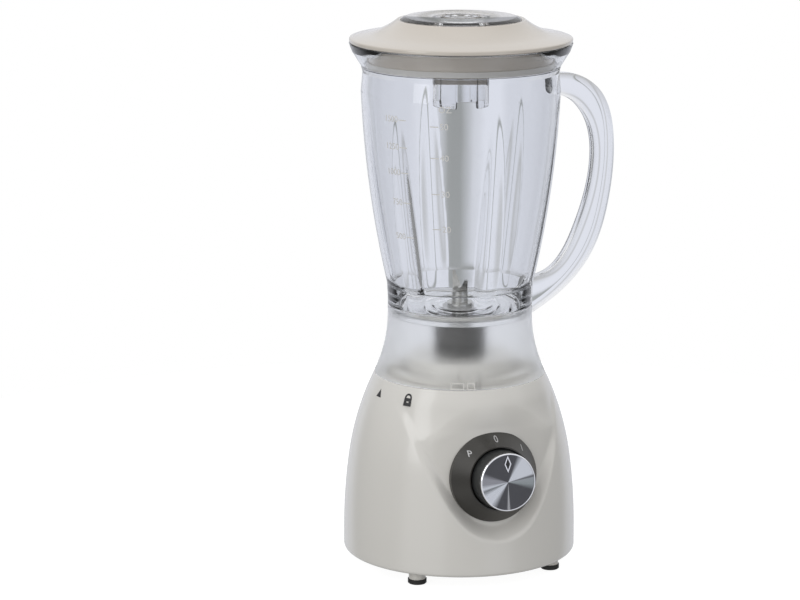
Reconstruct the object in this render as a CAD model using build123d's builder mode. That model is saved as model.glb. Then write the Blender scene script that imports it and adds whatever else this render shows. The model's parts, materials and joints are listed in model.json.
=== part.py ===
from build123d import *
from math import cos, radians, sin
import os

os.makedirs("parts", exist_ok=True)

# Countertop blender, in millimetres. +Z is up, the dial faces -Y and the jug's
# handle points along +X. The origin is on the drive axis, at the worktop.

# Clearances
gap = 0.3           # between pieces that move past each other
snug = 0.05         # between pieces that are fixed to each other
running = 0.05      # radial, a shaft in its bearing
screw_room = 0.2    # radial, a screw in its hole

# Base housing
base_r = 85.7
base_bulge_z = 22.0     # height of the widest place
base_corner = 5.5       # radius of the rounded lower edge
shoulder_in = 3.8       # how far the shoulder is inside the widest place
shoulder_z = 79.0
deck_r = 62.7
deck_z = 142.4
base_under_z = 9.2
base_lip_in = 5.7       # the opening for the bottom plate, inside the widest place
housing_wall = 2.8
tower_r = 40.0
tower_top_r = 37.5
tower_h = 13.2
tower_hole_r = 7.0

# Shield-shaped recess round the dial
recess_tilt = 4.0
recess_depth = 15.2     # of its floor, behind the housing's widest place
recess_bottom_z = 37.0
recess_chin_w = 36.0    # half the width of the rounded bottom
recess_chin_h = 19.0
recess_half_w = 60.0
recess_flat_w = 38.0    # half the width of the gently curved floor
recess_flat_fall = 5.5
recess_wrap_w = 62.0
recess_wrap_fall = 36.0
recess_top_z = 135.0

# Dial: its axis leans up by dial_tilt
dial_tilt = 6.0
dial_z = 79.9
dial_proud = -0.8       # the bezel's foot, against the recess floor
bezel_r = 33.0
bezel_h = 13.0
knob_r = 21.5
knob_taper = 0.7
knob_room = 1.0         # radial, in the bezel's bore
knob_from = 4.4
knob_h = 29.0
knob_wall = 2.0
knob_trim_w = 0.9
knob_cap_h = 2.4
pointer_len = 9.0
pointer_w = 3.6
pointer_pocket = 1.4
pointer_h = 1.2
spindle_r = 3.0
switch_bush_r = 4.8
switch_r = 17.0
switch_front = -6.5
switch_back = -23.5
switch_nut_r = 7.0

# Feet and bottom plate
foot_pitch = 104.0
foot_post_r = 6.2
pad_over = 0.65         # radial, over the foot post
pad_h = 3.5
pad_stem_r = 2.5
pad_stem_h = 3.5
plate_h = 2.6
plate_screw_in = 8.0    # from the plate's edge
plate_screw_angles = (22, 158, 202, 338)
plate_screw_r = 2.0
plate_screw_head_r = 3.8
plate_boss_r = 5.0
plate_boss_h = 32.0
plate_boss_cap = 4.0    # above the blind screw hole
plate_screw_head_h = 1.25
plate_screw_len = 16.0
screw_cross = (4.4, 0.9, 0.8)   # length, width and depth of the driver slot
vent_len = 52.0
vent_w = 3.0
vent_pitch = 7.0
vent_count = 9

# Cord gland in the back of the housing
gland_z = 32.0
gland_r = 8.0
gland_flange_r = 10.5
gland_bore_r = 3.5
gland_out = 3.0
gland_flange_in = 1.6   # behind the housing's wall, clear of its curve
gland_flange_h = 3.0
gland_round = 2.0

# Motor, from the bottom up
shaft_r = 4.0
shaft_below_fan = 2.0
fan_gap = 3.5           # under the lower bracket and its nuts
fan_h = 11.5
fan_r = 33.0
fan_blades = 9
bracket_h = 3.0
motor_drop = 25.4       # from the deck to the upper bracket's underside
bearing_r = 11.0
bearing_h = 7.0
bearing_hub_r = 14.0
commutator_up = 15.0    # above the lower bracket
commutator_gap = 10.0   # under the rotor core
commutator_h = 14.0
commutator_r = 12.0
core_drop = 13.0        # under the upper bracket
core_h = 32.0
armature_r = 22.0
air_gap = 0.8
slot_count = 12
slot_w = 2.4
winding_in = 3.0        # inside the rotor core's edge
winding_over = 7.0
stator_r = 42.0
coil_room = 2.2         # inside the coils, outside the air gap
coil_thick = 8.0
coil_half_span = 62.0
pole_half_span = 44.0
coil_over = 8.0
motor_screw_at = 38.0
motor_screw_r = 2.0
motor_post_r = 5.0
motor_nut_r = 4.0
motor_nut_h = 2.4
bar_w = 14.0
damper_at = 30.0
damper_r = 6.0
damper_h = 10.0
damper_screw_r = 1.7
damper_screw_in = 6.0   # into the housing's post
damper_hole_more = 1.5  # the hole runs on past the screw
damper_head_h = 2.5
brush_w = 6.0
brush_h = 7.6
brush_up = 3.2          # above the commutator's lower end
brush_len = 15.0
brush_holder_room = 2.8 # from the commutator
brush_holder_len = 19.2

# Couplings between motor and blades
coupling_r = 19.0
drive_up = 2.0          # above the tower
drive_disc_h = 4.9
dog_room = 1.5          # between each dog's end and the other disc
driven_disc_h = 4.5
dog_count = 3
dog_angle = 30.0
dog_r = (8.0, 17.0)
dog_len = 11.0

# Lock ring and jug skirt
ring_in = 4.0           # from the tower's foot
ring_w = 8.0
ring_h = 3.5
ring_tab_len = 4.0
ring_tab_h = 6.3
ring_tab_angle = 10.0
ring_tabs = 4
ring_tab_start = -104.0
interlock_size = (7.0, 20.0, 10.0)
skirt_h = 51.4
skirt_top_r = 52.9
skirt_straight = 7.3    # of its upper end
skirt_wall = 2.5
skirt_rib = (11.0, 1.6, 11.0)   # reach, width and height beside each tab
skirt_rib_away = 2.5    # degrees, from the tab's side

# Jar
jar_wall = 2.6
jar_h = 192.4           # above the skirt
jar_foot_out = 0.6      # outside the skirt's upper end
jar_foot_up = 15.8      # above the skirt
jar_bulge = 3.3         # halfway up, outside a straight side
jar_neck_r = 72.3
jar_neck_down = 35.2    # below the rim
jar_groove_in = 1.2     # inside the neck
jar_collar_down = 16.7
jar_mouth_r = 80.9
jar_floor_down = 4.8    # below the skirt's upper edge
jar_floor_h = 3.0
jar_mark_h = 0.5
jar_mark_w = 1.6
jar_mark_r = (16.0, 27.0, 37.0)
jar_floor_corner = 5.0
rib_count = 6
rib_r = (8.0, 14.0)     # at the leaf-shaped upper end and at the foot
rib_top_down = 56.2     # below the rim
rib_depth = 7.4         # at the jar's foot
rib_foot_up = 11.2      # above the skirt

# Handle, moulded with the jar
handle_reach = 119.6
handle_top_down = 25.7  # below the rim
handle_low_down = 12.3  # below the skirt's upper edge
handle_w = 15.5
handle_round = 3.5

# Blade unit
hub_r = 6.2
hub_up = 11.5           # above the jar's floor
hub_flange_r = 9.5
hub_flange_h = 2.0
hub_down = 8.4          # below the jar's floor
bush_r = 4.0
bush_h = 6.0
blade_shaft_r = 2.5
blade_shaft_up = 5.5    # above the hub
blade_shaft_down = 5.5  # into the driven coupling
blade_t = 1.2
blade_w = 9.0
blade_angle = -8.5
blade_cross = 98.0
lower_blade_form = (21.0, 26.0, -4.0)   # flat half, reach of the tip, rise of the tip
upper_blade_form = (7.0, 17.0, 11.5)
blade_nut_r = 4.6
blade_nut_h = 2.2
lock_nut_r = 13.0
lock_nut_h = 4.2
blade_seal_h = 1.0

# Lid and filler cap
lid_in = 0.3            # inside the jar's mouth
lid_edge_h = 3.2
lid_wall = 2.6
lid_dome_in = 3.0       # the dome's foot, inside the lid's edge
lid_seat_up = 14.0      # above the jar's rim
lid_rim_w = 2.6
lid_rim_up = 2.2        # above the seat
lid_skirt_gap = 1.5     # to the jar's groove
lid_skirt_h = 17.1
lid_seal_w = 2.2
lid_seal_h = 3.6
lid_seal_up = 1.0       # above the skirt's lower edge
lid_seal_groove = 1.2
lid_spout = 12.0        # the collar round the cup, below the seat
cap_r = 43.5
cap_h = 4.0
cap_recess_r = 17.0
cap_recess_depth = 1.6
cap_recess_w = 4.5
cap_round = 1.2
cup_r = 20.3
cup_wall = 1.8
cup_len = 60.7

# Sizes that follow their neighbours
knob_face_r = knob_r - knob_taper
bezel_bore_r = knob_r + knob_room
pad_r = foot_post_r + pad_over
brush_holder = (commutator_r + brush_holder_room, commutator_r + brush_holder_room + brush_holder_len)
coil_inner_r = armature_r + air_gap + coil_room
coil_outer_r = coil_inner_r + coil_thick
winding_r = armature_r - winding_in
jar_foot_r = skirt_top_r + jar_foot_out
jar_belly_r = (jar_foot_r + jar_neck_r) / 2 + jar_bulge

# Levels, worked up from the worktop and down from the deck
base_lip_r = base_r - base_lip_in
shoulder_r = base_r - shoulder_in
recess_floor_y = recess_depth - base_r
dial_y = recess_floor_y - dial_proud
plate_top_z = base_under_z + plate_h
plate_screw_at = base_lip_r - plate_screw_in
tower_z = deck_z + tower_h
upper_bracket_z = deck_z - motor_drop
core_top_z = upper_bracket_z - core_drop
core_z = core_top_z - core_h
commutator_z = core_z - commutator_gap - commutator_h
lower_bracket_z = commutator_z - commutator_up
fan_z = lower_bracket_z - fan_gap - fan_h
brush_z = (commutator_z + brush_up, commutator_z + brush_up + brush_h)
drive_z = tower_z + drive_up
driven_z = drive_z + drive_disc_h + dog_len + dog_room
drive_hub_z = driven_z - dog_len + 2.0
shaft_z = (fan_z - shaft_below_fan, drive_hub_z - 1.0)
ring_r = (tower_r + ring_in, tower_r + ring_in + ring_w)
ring_tab_r = ring_r[1] + ring_tab_len
skirt_foot_r = deck_r
skirt_z = deck_z + skirt_h
skirt_straight_z = skirt_z - skirt_straight
jar_band_r = skirt_top_r
jar_rim_z = skirt_z + jar_h
jar_foot_z = skirt_z + jar_foot_up
jar_neck_z = jar_rim_z - jar_neck_down
jar_belly_z = (jar_foot_z + jar_neck_z) / 2
jar_groove_r = jar_neck_r - jar_groove_in
jar_collar_z = jar_rim_z - jar_collar_down
jar_collar_r = jar_neck_r
jar_floor_z = skirt_z - jar_floor_down
handle_top_z = jar_rim_z - handle_top_down
handle_low_z = skirt_z - handle_low_down
rib_top_z = jar_rim_z - rib_top_down
rib_foot_r = jar_foot_r - jar_wall - rib_depth
rib_foot_z = skirt_z + rib_foot_up
hub_top_z = jar_floor_z + hub_up
hub_bottom_z = jar_floor_z - hub_down
blade_shaft_z = (driven_z - blade_shaft_down, hub_top_z + blade_shaft_up)
lid_r = jar_mouth_r - lid_in
lid_edge_z = jar_rim_z + gap
lid_top_z = lid_edge_z + lid_edge_h
lid_dome_foot_r = lid_r - lid_dome_in
lid_seat_r = cap_r + 0.4
lid_seat_z = jar_rim_z + lid_seat_up
lid_rim_r = lid_seat_r + lid_rim_w
lid_rim_z = lid_seat_z + lid_rim_up
lid_skirt_r = jar_groove_r - jar_wall - lid_skirt_gap
lid_bore_r = lid_skirt_r - lid_wall
lid_slope = (lid_rim_z - 0.2 - lid_top_z) / (lid_dome_foot_r - lid_rim_r)
lid_under_z = lid_top_z + (lid_dome_foot_r - lid_bore_r) * lid_slope - lid_wall
lid_skirt_z = lid_edge_z - lid_skirt_h
cap_z = lid_seat_z + gap
cup_foot_z = cap_z - cup_len


def save(name, builder):
    builder.part.label = name
    export_step(builder.part, f"parts/{name}.step")


def tube(z0, z1, r_out, r_in=0.0):
    # a plain ring or disc about the drive axis, added to the piece being built
    with BuildSketch(Plane.XY.offset(z0)) as ring_face:
        Circle(r_out)
        if r_in > 0:
            Circle(r_in, mode=Mode.SUBTRACT)
    extrude(ring_face.sketch, amount=z1 - z0)


def sector(r_in, r_out, half_angle, middle, z0, z1, mode=Mode.ADD):
    # a block between two radii and two angles, at the angle called middle
    reach = 2 * r_out
    start = Vector(reach, 0).rotate(Axis.Z, middle - half_angle)
    end = Vector(reach, 0).rotate(Axis.Z, middle + half_angle)
    top = Vector(2 * reach, 0).rotate(Axis.Z, middle)
    with BuildSketch(Plane.XY.offset(z0)) as block_face:
        Circle(r_out)
        Circle(r_in, mode=Mode.SUBTRACT)
        Polygon((0, 0), start, top, end, align=None, mode=Mode.INTERSECT)
    extrude(block_face.sketch, amount=z1 - z0, mode=mode)


def dial_plane(along):
    # a plane across the dial's axis, a distance along it from the bezel's foot
    lean = radians(dial_tilt)
    direction = Vector(0, -cos(lean), sin(lean))
    return Plane(origin=Vector(0, dial_y, dial_z) + direction * along, x_dir=(1, 0, 0), z_dir=direction)


def housing_side(inset):
    # two arcs that run into each other at the shoulder
    low = TangentArc((base_r - inset, base_bulge_z), (shoulder_r - inset, shoulder_z), tangent=(0, 1))
    TangentArc(low @ 1, (deck_r - inset, deck_z), tangent=low % 1)


# Recess round the dial, as the solid that it removes. With grow above zero it is
# the same shape a wall's thickness further in.
def recess(grow):
    lean = radians(recess_tilt)
    middle = (0, recess_floor_y + grow, dial_z)
    floor = Plane(origin=middle, x_dir=(1, 0, 0), z_dir=(0, sin(lean), cos(lean)))
    side = recess_half_w + grow
    low = recess_bottom_z - grow
    chin_w = recess_chin_w + grow * 0.6
    chin_z = recess_bottom_z + recess_chin_h - grow * 0.8
    far = 2 * base_r
    with BuildPart() as cutter:
        with BuildSketch(Plane.XZ):
            with BuildLine():
                chin = ThreePointArc((-chin_w, chin_z), (0, low), (chin_w, chin_z))
                right = TangentArc(chin @ 1, (side, recess_top_z), tangent=chin % 1)
                left = TangentArc(chin @ 0, (-side, recess_top_z), tangent=chin % 0 * -1)
                Line(right @ 1, left @ 1)
            make_face()
        extrude(amount=far)
        with BuildSketch(floor):
            with BuildLine():
                flat_end = (recess_flat_w, recess_flat_fall)
                flat = ThreePointArc((-recess_flat_w, recess_flat_fall), (0, 0), flat_end)
                right = TangentArc(flat @ 1, (recess_wrap_w, recess_wrap_fall), tangent=flat % 1)
                left = TangentArc(flat @ 0, (-recess_wrap_w, recess_wrap_fall), tangent=flat % 0 * -1)
                Polyline(
                    right @ 1,
                    (recess_wrap_w, far),
                    (far, far),
                    (far, -far),
                    (-far, -far),
                    (-far, far),
                    (-recess_wrap_w, far),
                    left @ 1,
                )
            make_face()
        extrude(amount=far, both=True, mode=Mode.INTERSECT)
    return cutter.part


def housing_form(recess_grow):
    with BuildPart() as form:
        with BuildSketch(Plane.XZ):
            with BuildLine():
                edge_r = base_r - base_corner
                edge_z = base_under_z + base_corner
                Line((0, base_under_z), (edge_r, base_under_z))
                TangentArc((edge_r, base_under_z), (base_r, edge_z), tangent=(1, 0))
                Line((base_r, edge_z), (base_r, base_bulge_z))
                housing_side(0)
                Polyline((deck_r, deck_z), (tower_r, deck_z), (tower_top_r, tower_z))
                Polyline((tower_top_r, tower_z), (0, tower_z), (0, base_under_z))
            make_face()
        revolve(axis=Axis.Z)
        add(recess(recess_grow), mode=Mode.SUBTRACT)
    return form.part


# Base housing: one shell with the deck, the tower and the dial's panel
damper_top_z = upper_bracket_z + bracket_h + damper_h
with BuildPart() as base_cavity:
    with BuildSketch(Plane.XZ):
        with BuildLine():
            inner_r = base_r - housing_wall
            Polyline((0, 0), (base_lip_r, 0), (base_lip_r, plate_top_z), (inner_r, base_bulge_z))
            housing_side(housing_wall)
            Polyline(
                (deck_r - housing_wall, deck_z),
                (deck_r - housing_wall, deck_z - housing_wall),
                (tower_r - housing_wall, deck_z - housing_wall),
                (tower_top_r - housing_wall, tower_z - housing_wall),
                (0, tower_z - housing_wall),
                (0, 0),
            )
        make_face()
    revolve(axis=Axis.Z)
    add(recess(housing_wall), mode=Mode.SUBTRACT)

with BuildPart() as base_shell:
    add(housing_form(0))
    # the cavity stays under the deck outside the tower
    add(base_cavity.part, mode=Mode.SUBTRACT)

with BuildPart() as base_housing:
    add(base_shell.part)
    tube(deck_z - housing_wall, deck_z, deck_r - housing_wall / 2, tower_r - housing_wall / 2)
    for angle in plate_screw_angles:
        boss = Plane.XY.offset(plate_top_z).rotated((0, 0, angle))
        with BuildSketch(boss):
            with Locations((plate_screw_at, 0)):
                Circle(plate_boss_r)
            with Locations((plate_screw_at + (inner_r - plate_screw_at) / 2, 0)):
                Rectangle(inner_r - plate_screw_at, plate_boss_r)
        extrude(amount=plate_boss_h)
        with BuildSketch(boss):
            with Locations((plate_screw_at, 0)):
                Circle(plate_screw_r + snug)
        extrude(amount=plate_boss_h - plate_boss_cap, mode=Mode.SUBTRACT)
    with BuildSketch(Plane.XY.offset(damper_top_z + snug)):
        with GridLocations(2 * damper_at, 2 * damper_at, 2, 2):
            Circle(damper_r - 0.5)
    extrude(amount=deck_z - housing_wall - damper_top_z)
    with BuildSketch(Plane.XY.offset(damper_top_z)):
        with GridLocations(2 * damper_at, 2 * damper_at, 2, 2):
            Circle(damper_screw_r + snug)
    extrude(amount=damper_screw_in + damper_hole_more, mode=Mode.SUBTRACT)
    with BuildSketch(Plane.XY.offset(tower_z - 2 * housing_wall)):
        Circle(tower_hole_r)
    extrude(amount=3 * housing_wall, mode=Mode.SUBTRACT)
    with BuildSketch(Plane.XZ.offset(-base_r - 5)):
        with Locations((0, gland_z)):
            Circle(gland_r + snug)
    extrude(amount=15, mode=Mode.SUBTRACT)
    with BuildSketch(dial_plane(bezel_h)):
        Circle(switch_bush_r + screw_room)
    extrude(amount=-2 * bezel_h, mode=Mode.SUBTRACT)
save("base_housing", base_housing)

# Bottom plate with the foot posts and the air slots
with BuildPart() as bottom_plate:
    tube(base_under_z, plate_top_z - snug, base_lip_r - gap)
    with BuildSketch(Plane.XY.offset(pad_h + snug)):
        with GridLocations(foot_pitch, foot_pitch, 2, 2):
            Circle(foot_post_r)
    extrude(amount=base_under_z - pad_h)
    with BuildSketch(Plane.XY.offset(pad_h)):
        with GridLocations(foot_pitch, foot_pitch, 2, 2):
            Circle(pad_stem_r + snug)
    extrude(amount=pad_stem_h + snug, mode=Mode.SUBTRACT)
    with BuildSketch(Plane.XY.offset(base_under_z)):
        with GridLocations(0, vent_pitch, 1, vent_count):
            SlotOverall(vent_len, vent_w)
    extrude(amount=plate_h, mode=Mode.SUBTRACT)
    for angle in plate_screw_angles:
        with BuildSketch(Plane.XY.offset(base_under_z).rotated((0, 0, angle))):
            with Locations((plate_screw_at, 0)):
                Circle(plate_screw_r + screw_room)
        extrude(amount=plate_h, mode=Mode.SUBTRACT)
        with BuildSketch(Plane.XY.offset(base_under_z).rotated((0, 0, angle))):
            with Locations((plate_screw_at, 0)):
                Circle(plate_screw_head_r + screw_room)
        extrude(amount=plate_screw_head_h + snug, mode=Mode.SUBTRACT)
save("bottom_plate", bottom_plate)

with BuildPart() as plate_screws:
    for angle in plate_screw_angles:
        with BuildSketch(Plane.XY.offset(base_under_z).rotated((0, 0, angle))):
            with Locations((plate_screw_at, 0)):
                Circle(plate_screw_head_r)
        extrude(amount=plate_screw_head_h)
        with BuildSketch(Plane.XY.offset(base_under_z).rotated((0, 0, angle))):
            with Locations((plate_screw_at, 0)):
                Circle(plate_screw_r)
        extrude(amount=plate_screw_len)
        with BuildSketch(Plane.XY.offset(base_under_z).rotated((0, 0, angle))):
            with Locations((plate_screw_at, 0)):
                Rectangle(screw_cross[0], screw_cross[1])
                Rectangle(screw_cross[1], screw_cross[0])
        extrude(amount=screw_cross[2], mode=Mode.SUBTRACT)
save("plate_screws", plate_screws)

with BuildPart() as foot_pads:
    with BuildSketch():
        with GridLocations(foot_pitch, foot_pitch, 2, 2):
            Circle(pad_r)
    extrude(amount=pad_h)
    chamfer(edges().group_by(Axis.Z)[0], 0.6)
    with BuildSketch(Plane.XY.offset(pad_h)):
        with GridLocations(foot_pitch, foot_pitch, 2, 2):
            Circle(pad_stem_r)
    extrude(amount=pad_stem_h)
save("foot_pads", foot_pads)

# Cord gland: a sleeve through the housing's back, held by a flange inside
gland_flange_y = base_r - housing_wall - gland_flange_in
with BuildPart() as cord_gland:
    with BuildSketch(Plane.XZ.offset(-gland_flange_y + gland_flange_h)):
        with Locations((0, gland_z)):
            Circle(gland_flange_r)
    extrude(amount=-gland_flange_h)
    with BuildSketch(Plane.XZ.offset(-gland_flange_y)):
        with Locations((0, gland_z)):
            Circle(gland_r)
    extrude(amount=-(base_r + gland_out - gland_flange_y))
    fillet(edges().sort_by(Axis.Y)[-1], gland_round)
    with BuildSketch(Plane.XZ.offset(-base_r + 20)):
        with Locations((0, gland_z)):
            Circle(gland_bore_r)
    extrude(amount=-40, mode=Mode.SUBTRACT)
save("cord_gland", cord_gland)


# Motor: shaft, bearings and brackets
def bearing(z0):
    with BuildPart() as ring:
        tube(z0, z0 + bearing_h, bearing_r, shaft_r + running)
        groove = (bearing_r + shaft_r) / 2
        for level in (z0, z0 + bearing_h):
            with BuildSketch(Plane.XY.offset(level - 0.6)):
                Circle(groove + 1.6)
                Circle(groove - 1.6, mode=Mode.SUBTRACT)
            extrude(amount=1.2, mode=Mode.SUBTRACT)
    return ring


lower_bearing_z = lower_bracket_z + 2.1
upper_bearing_z = upper_bracket_z + bracket_h - bearing_h
lower_bearing = bearing(lower_bearing_z)
save("lower_bearing", lower_bearing)
upper_bearing = bearing(upper_bearing_z)
save("upper_bearing", upper_bearing)

with BuildPart() as lower_bracket:
    with BuildSketch(Plane.XY.offset(lower_bracket_z)):
        RectangleRounded(2 * motor_screw_at + bar_w, bar_w, 4)
        RectangleRounded(bar_w, 2 * brush_holder[1] + 4, 4)
    extrude(amount=bracket_h)
    tube(lower_bracket_z, lower_bearing_z + bearing_h + 1.5, bearing_hub_r)
    with BuildSketch(Plane.XY.offset(lower_bracket_z + bracket_h)):
        with GridLocations(2 * motor_screw_at, 0, 2, 1):
            Circle(motor_post_r)
    extrude(amount=core_z - snug - lower_bracket_z - bracket_h)
    with BuildSketch(Plane.XY.offset(lower_bearing_z - snug)):
        Circle(bearing_r + snug)
    extrude(amount=20, mode=Mode.SUBTRACT)
    with BuildSketch(Plane.XY.offset(lower_bracket_z)):
        Circle(shaft_r + 2)
        with GridLocations(2 * motor_screw_at, 0, 2, 1):
            Circle(motor_screw_r + screw_room)
    extrude(amount=core_z, mode=Mode.SUBTRACT)
save("lower_bracket", lower_bracket)

plate_half = damper_at + 8
with BuildPart() as upper_bracket:
    with BuildSketch(Plane.XY.offset(upper_bracket_z)):
        RectangleRounded(2 * plate_half, 2 * plate_half, 8)
        RectangleRounded(2 * motor_screw_at + bar_w, bar_w, 4)
        with PolarLocations(26, 4, start_angle=0):
            Circle(7.5, mode=Mode.SUBTRACT)
    extrude(amount=bracket_h)
    tube(upper_bearing_z, upper_bracket_z + bracket_h + 2, bearing_hub_r)
    with BuildSketch(Plane.XY.offset(core_top_z + snug)):
        with GridLocations(2 * motor_screw_at, 0, 2, 1):
            Circle(motor_post_r)
    extrude(amount=upper_bracket_z - core_top_z)
    with BuildSketch(Plane.XY.offset(upper_bearing_z)):
        Circle(bearing_r + snug)
    extrude(amount=bearing_h + snug, mode=Mode.SUBTRACT)
    with BuildSketch(Plane.XY.offset(core_top_z)):
        Circle(shaft_r + 2)
        with GridLocations(2 * motor_screw_at, 0, 2, 1):
            Circle(motor_screw_r + screw_room)
        with GridLocations(2 * damper_at, 2 * damper_at, 2, 2):
            Circle(damper_screw_r + screw_room)
    extrude(amount=deck_z - core_top_z, mode=Mode.SUBTRACT)
save("upper_bracket", upper_bracket)

with BuildPart() as motor_screws:
    with BuildSketch(Plane.XY.offset(lower_bracket_z - motor_nut_h)):
        with GridLocations(2 * motor_screw_at, 0, 2, 1):
            Circle(motor_screw_r)
    extrude(amount=upper_bracket_z + bracket_h + motor_nut_h - lower_bracket_z)
    for level in (lower_bracket_z - motor_nut_h - snug, upper_bracket_z + bracket_h + snug):
        with BuildSketch(Plane.XY.offset(level)):
            with GridLocations(2 * motor_screw_at, 0, 2, 1):
                RegularPolygon(motor_nut_r, 6)
        extrude(amount=motor_nut_h)
save("motor_screws", motor_screws)

with BuildPart() as motor_dampers:
    with BuildSketch(Plane.XY.offset(upper_bracket_z + bracket_h + snug)):
        with GridLocations(2 * damper_at, 2 * damper_at, 2, 2):
            Circle(damper_r)
            Circle(damper_screw_r + screw_room, mode=Mode.SUBTRACT)
    extrude(amount=damper_h - snug)
save("motor_dampers", motor_dampers)

with BuildPart() as damper_screws:
    with BuildSketch(Plane.XY.offset(upper_bracket_z - damper_head_h)):
        with GridLocations(2 * damper_at, 2 * damper_at, 2, 2):
            Circle(2 * damper_screw_r)
    extrude(amount=damper_head_h - snug)
    with BuildSketch(Plane.XY.offset(upper_bracket_z - damper_head_h)):
        with GridLocations(2 * damper_at, 2 * damper_at, 2, 2):
            Circle(damper_screw_r)
    extrude(amount=damper_head_h + bracket_h + damper_h + damper_screw_in)
save("damper_screws", damper_screws)

# Stator core and its two saddle coils, wound round the poles at +Y and -Y
with BuildPart() as stator_core:
    tube(core_z, core_top_z, stator_r, armature_r + air_gap)
    slot_half = (coil_half_span - pole_half_span) / 2
    slot_mid = (coil_half_span + pole_half_span) / 2
    for pole in (90, 270):
        for side in (-slot_mid, slot_mid):
            slot_r = coil_outer_r + gap
            sector(armature_r, slot_r, slot_half + 1, pole + side, core_z, core_top_z, Mode.SUBTRACT)
    with BuildSketch(Plane.XY.offset(core_z)):
        with GridLocations(2 * motor_screw_at, 0, 2, 1):
            Circle(motor_screw_r + screw_room)
    extrude(amount=core_h, mode=Mode.SUBTRACT)
save("stator_core", stator_core)

with BuildPart() as field_coils:
    for pole in (90, 270):
        sector(coil_inner_r, coil_outer_r, coil_half_span, pole, core_z - coil_over, core_top_z + coil_over)
    for pole in (90, 270):
        sector(
            coil_inner_r - 1,
            coil_outer_r + 1,
            pole_half_span + 1,
            pole,
            core_z - gap,
            core_top_z + gap,
            Mode.SUBTRACT,
        )
save("field_coils", field_coils)

# Carbon brushes in their holders, either side of the commutator
with BuildPart() as brush_holders:
    depth = brush_holder[1] - brush_holder[0]
    holder_mid = (brush_holder[0] + brush_holder[1]) / 2
    with BuildSketch(Plane.XY.offset(lower_bracket_z + bracket_h + snug)):
        with GridLocations(0, 2 * holder_mid, 1, 2):
            Rectangle(2 * brush_w, depth)
    extrude(amount=brush_z[1] + 2 - lower_bracket_z - bracket_h)
    with BuildSketch(Plane.XZ.offset(-2 * brush_holder[1])):
        with Locations((0, (brush_z[0] + brush_z[1]) / 2)):
            Rectangle(brush_w + 2 * snug, brush_z[1] - brush_z[0] + 2 * snug)
    extrude(amount=4 * brush_holder[1], mode=Mode.SUBTRACT)
save("brush_holders", brush_holders)

with BuildPart() as carbon_brushes:
    brush_from = commutator_r + gap
    with BuildSketch(Plane.XY.offset(brush_z[0])):
        with GridLocations(0, 2 * brush_from + brush_len, 1, 2):
            Rectangle(brush_w, brush_len)
    extrude(amount=brush_z[1] - brush_z[0])
save("carbon_brushes", carbon_brushes)

# Rotor
with BuildPart() as motor_shaft:
    tube(shaft_z[0], shaft_z[1], shaft_r)
    chamfer(edges(), 0.5)
save("motor_shaft", motor_shaft)

with BuildPart() as rotor_core:
    tube(core_z, core_top_z, armature_r, shaft_r + snug)
    with BuildSketch(Plane.XY.offset(core_z)):
        with PolarLocations((armature_r + 12) / 2, slot_count):
            Rectangle(armature_r - 12 + 2, slot_w)
    extrude(amount=core_h, mode=Mode.SUBTRACT)
save("rotor_core", rotor_core)

with BuildPart() as armature_winding:
    for level in (core_z - winding_over, core_top_z + snug):
        tube(level, level + winding_over - snug, winding_r, shaft_r + 2)
    with BuildSketch(Plane.XY.offset(core_z - 1)):
        with PolarLocations(15.5, slot_count):
            Rectangle(6.4, slot_w - 2 * snug)
    extrude(amount=core_h + 2)
save("armature_winding", armature_winding)

with BuildPart() as commutator:
    tube(commutator_z, commutator_z + commutator_h, commutator_r, shaft_r + snug)
    with BuildSketch(Plane.XY.offset(commutator_z)):
        with PolarLocations(commutator_r, 2 * slot_count):
            Rectangle(2.4, 0.6)
    extrude(amount=commutator_h, mode=Mode.SUBTRACT)
save("commutator", commutator)

with BuildPart() as cooling_fan:
    tube(fan_z, fan_z + 2, fan_r)
    tube(fan_z, fan_z + fan_h, shaft_r + 3)
    with BuildSketch(Plane.XY.offset(fan_z + 2)):
        with PolarLocations((fan_r + shaft_r) / 2, fan_blades):
            Rectangle(fan_r - shaft_r - 3, 1.6, rotation=18)
    extrude(amount=fan_h - 2)
    with BuildSketch(Plane.XY.offset(fan_z)):
        Circle(shaft_r + snug)
    extrude(amount=fan_h, mode=Mode.SUBTRACT)
save("cooling_fan", cooling_fan)

# Dog couplings: three dogs each, with enough slack for the jug's locking turn
coupling_hub_r = 7.0
with BuildPart() as drive_coupling:
    tube(drive_z, drive_z + drive_disc_h, coupling_r)
    tube(drive_z, drive_hub_z, coupling_hub_r)
    for k in range(dog_count):
        middle = k * 360 / dog_count
        disc_top_z = drive_z + drive_disc_h
        sector(dog_r[0], dog_r[1], dog_angle / 2, middle, disc_top_z - 1, disc_top_z + dog_len)
    with BuildSketch(Plane.XY.offset(drive_z)):
        Circle(shaft_r + snug)
    extrude(amount=shaft_z[1] + snug - drive_z, mode=Mode.SUBTRACT)
save("drive_coupling", drive_coupling)

with BuildPart() as driven_coupling:
    tube(driven_z, driven_z + driven_disc_h, coupling_r)
    tube(drive_hub_z + 2.0, driven_z + 1, coupling_hub_r)
    tube(driven_z - dog_len + 1, driven_z + 1, coupling_r, dog_r[1] + 0.6)
    for k in range(dog_count):
        middle = (k + 0.5) * 360 / dog_count
        sector(dog_r[0], dog_r[1] + 1, dog_angle / 2, middle, driven_z - dog_len, driven_z + 1)
    with BuildSketch(Plane.XY.offset(blade_shaft_z[0] - snug)):
        Circle(blade_shaft_r + snug)
    extrude(amount=driven_z, mode=Mode.SUBTRACT)
save("driven_coupling", driven_coupling)

with BuildPart() as shaft_seal:
    tube(tower_z - housing_wall - 1, tower_z + 0.8, tower_hole_r - snug, shaft_r + gap)
    tube(tower_z + snug, tower_z + 1.2, tower_hole_r + 2, shaft_r + gap)
save("shaft_seal", shaft_seal)


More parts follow.
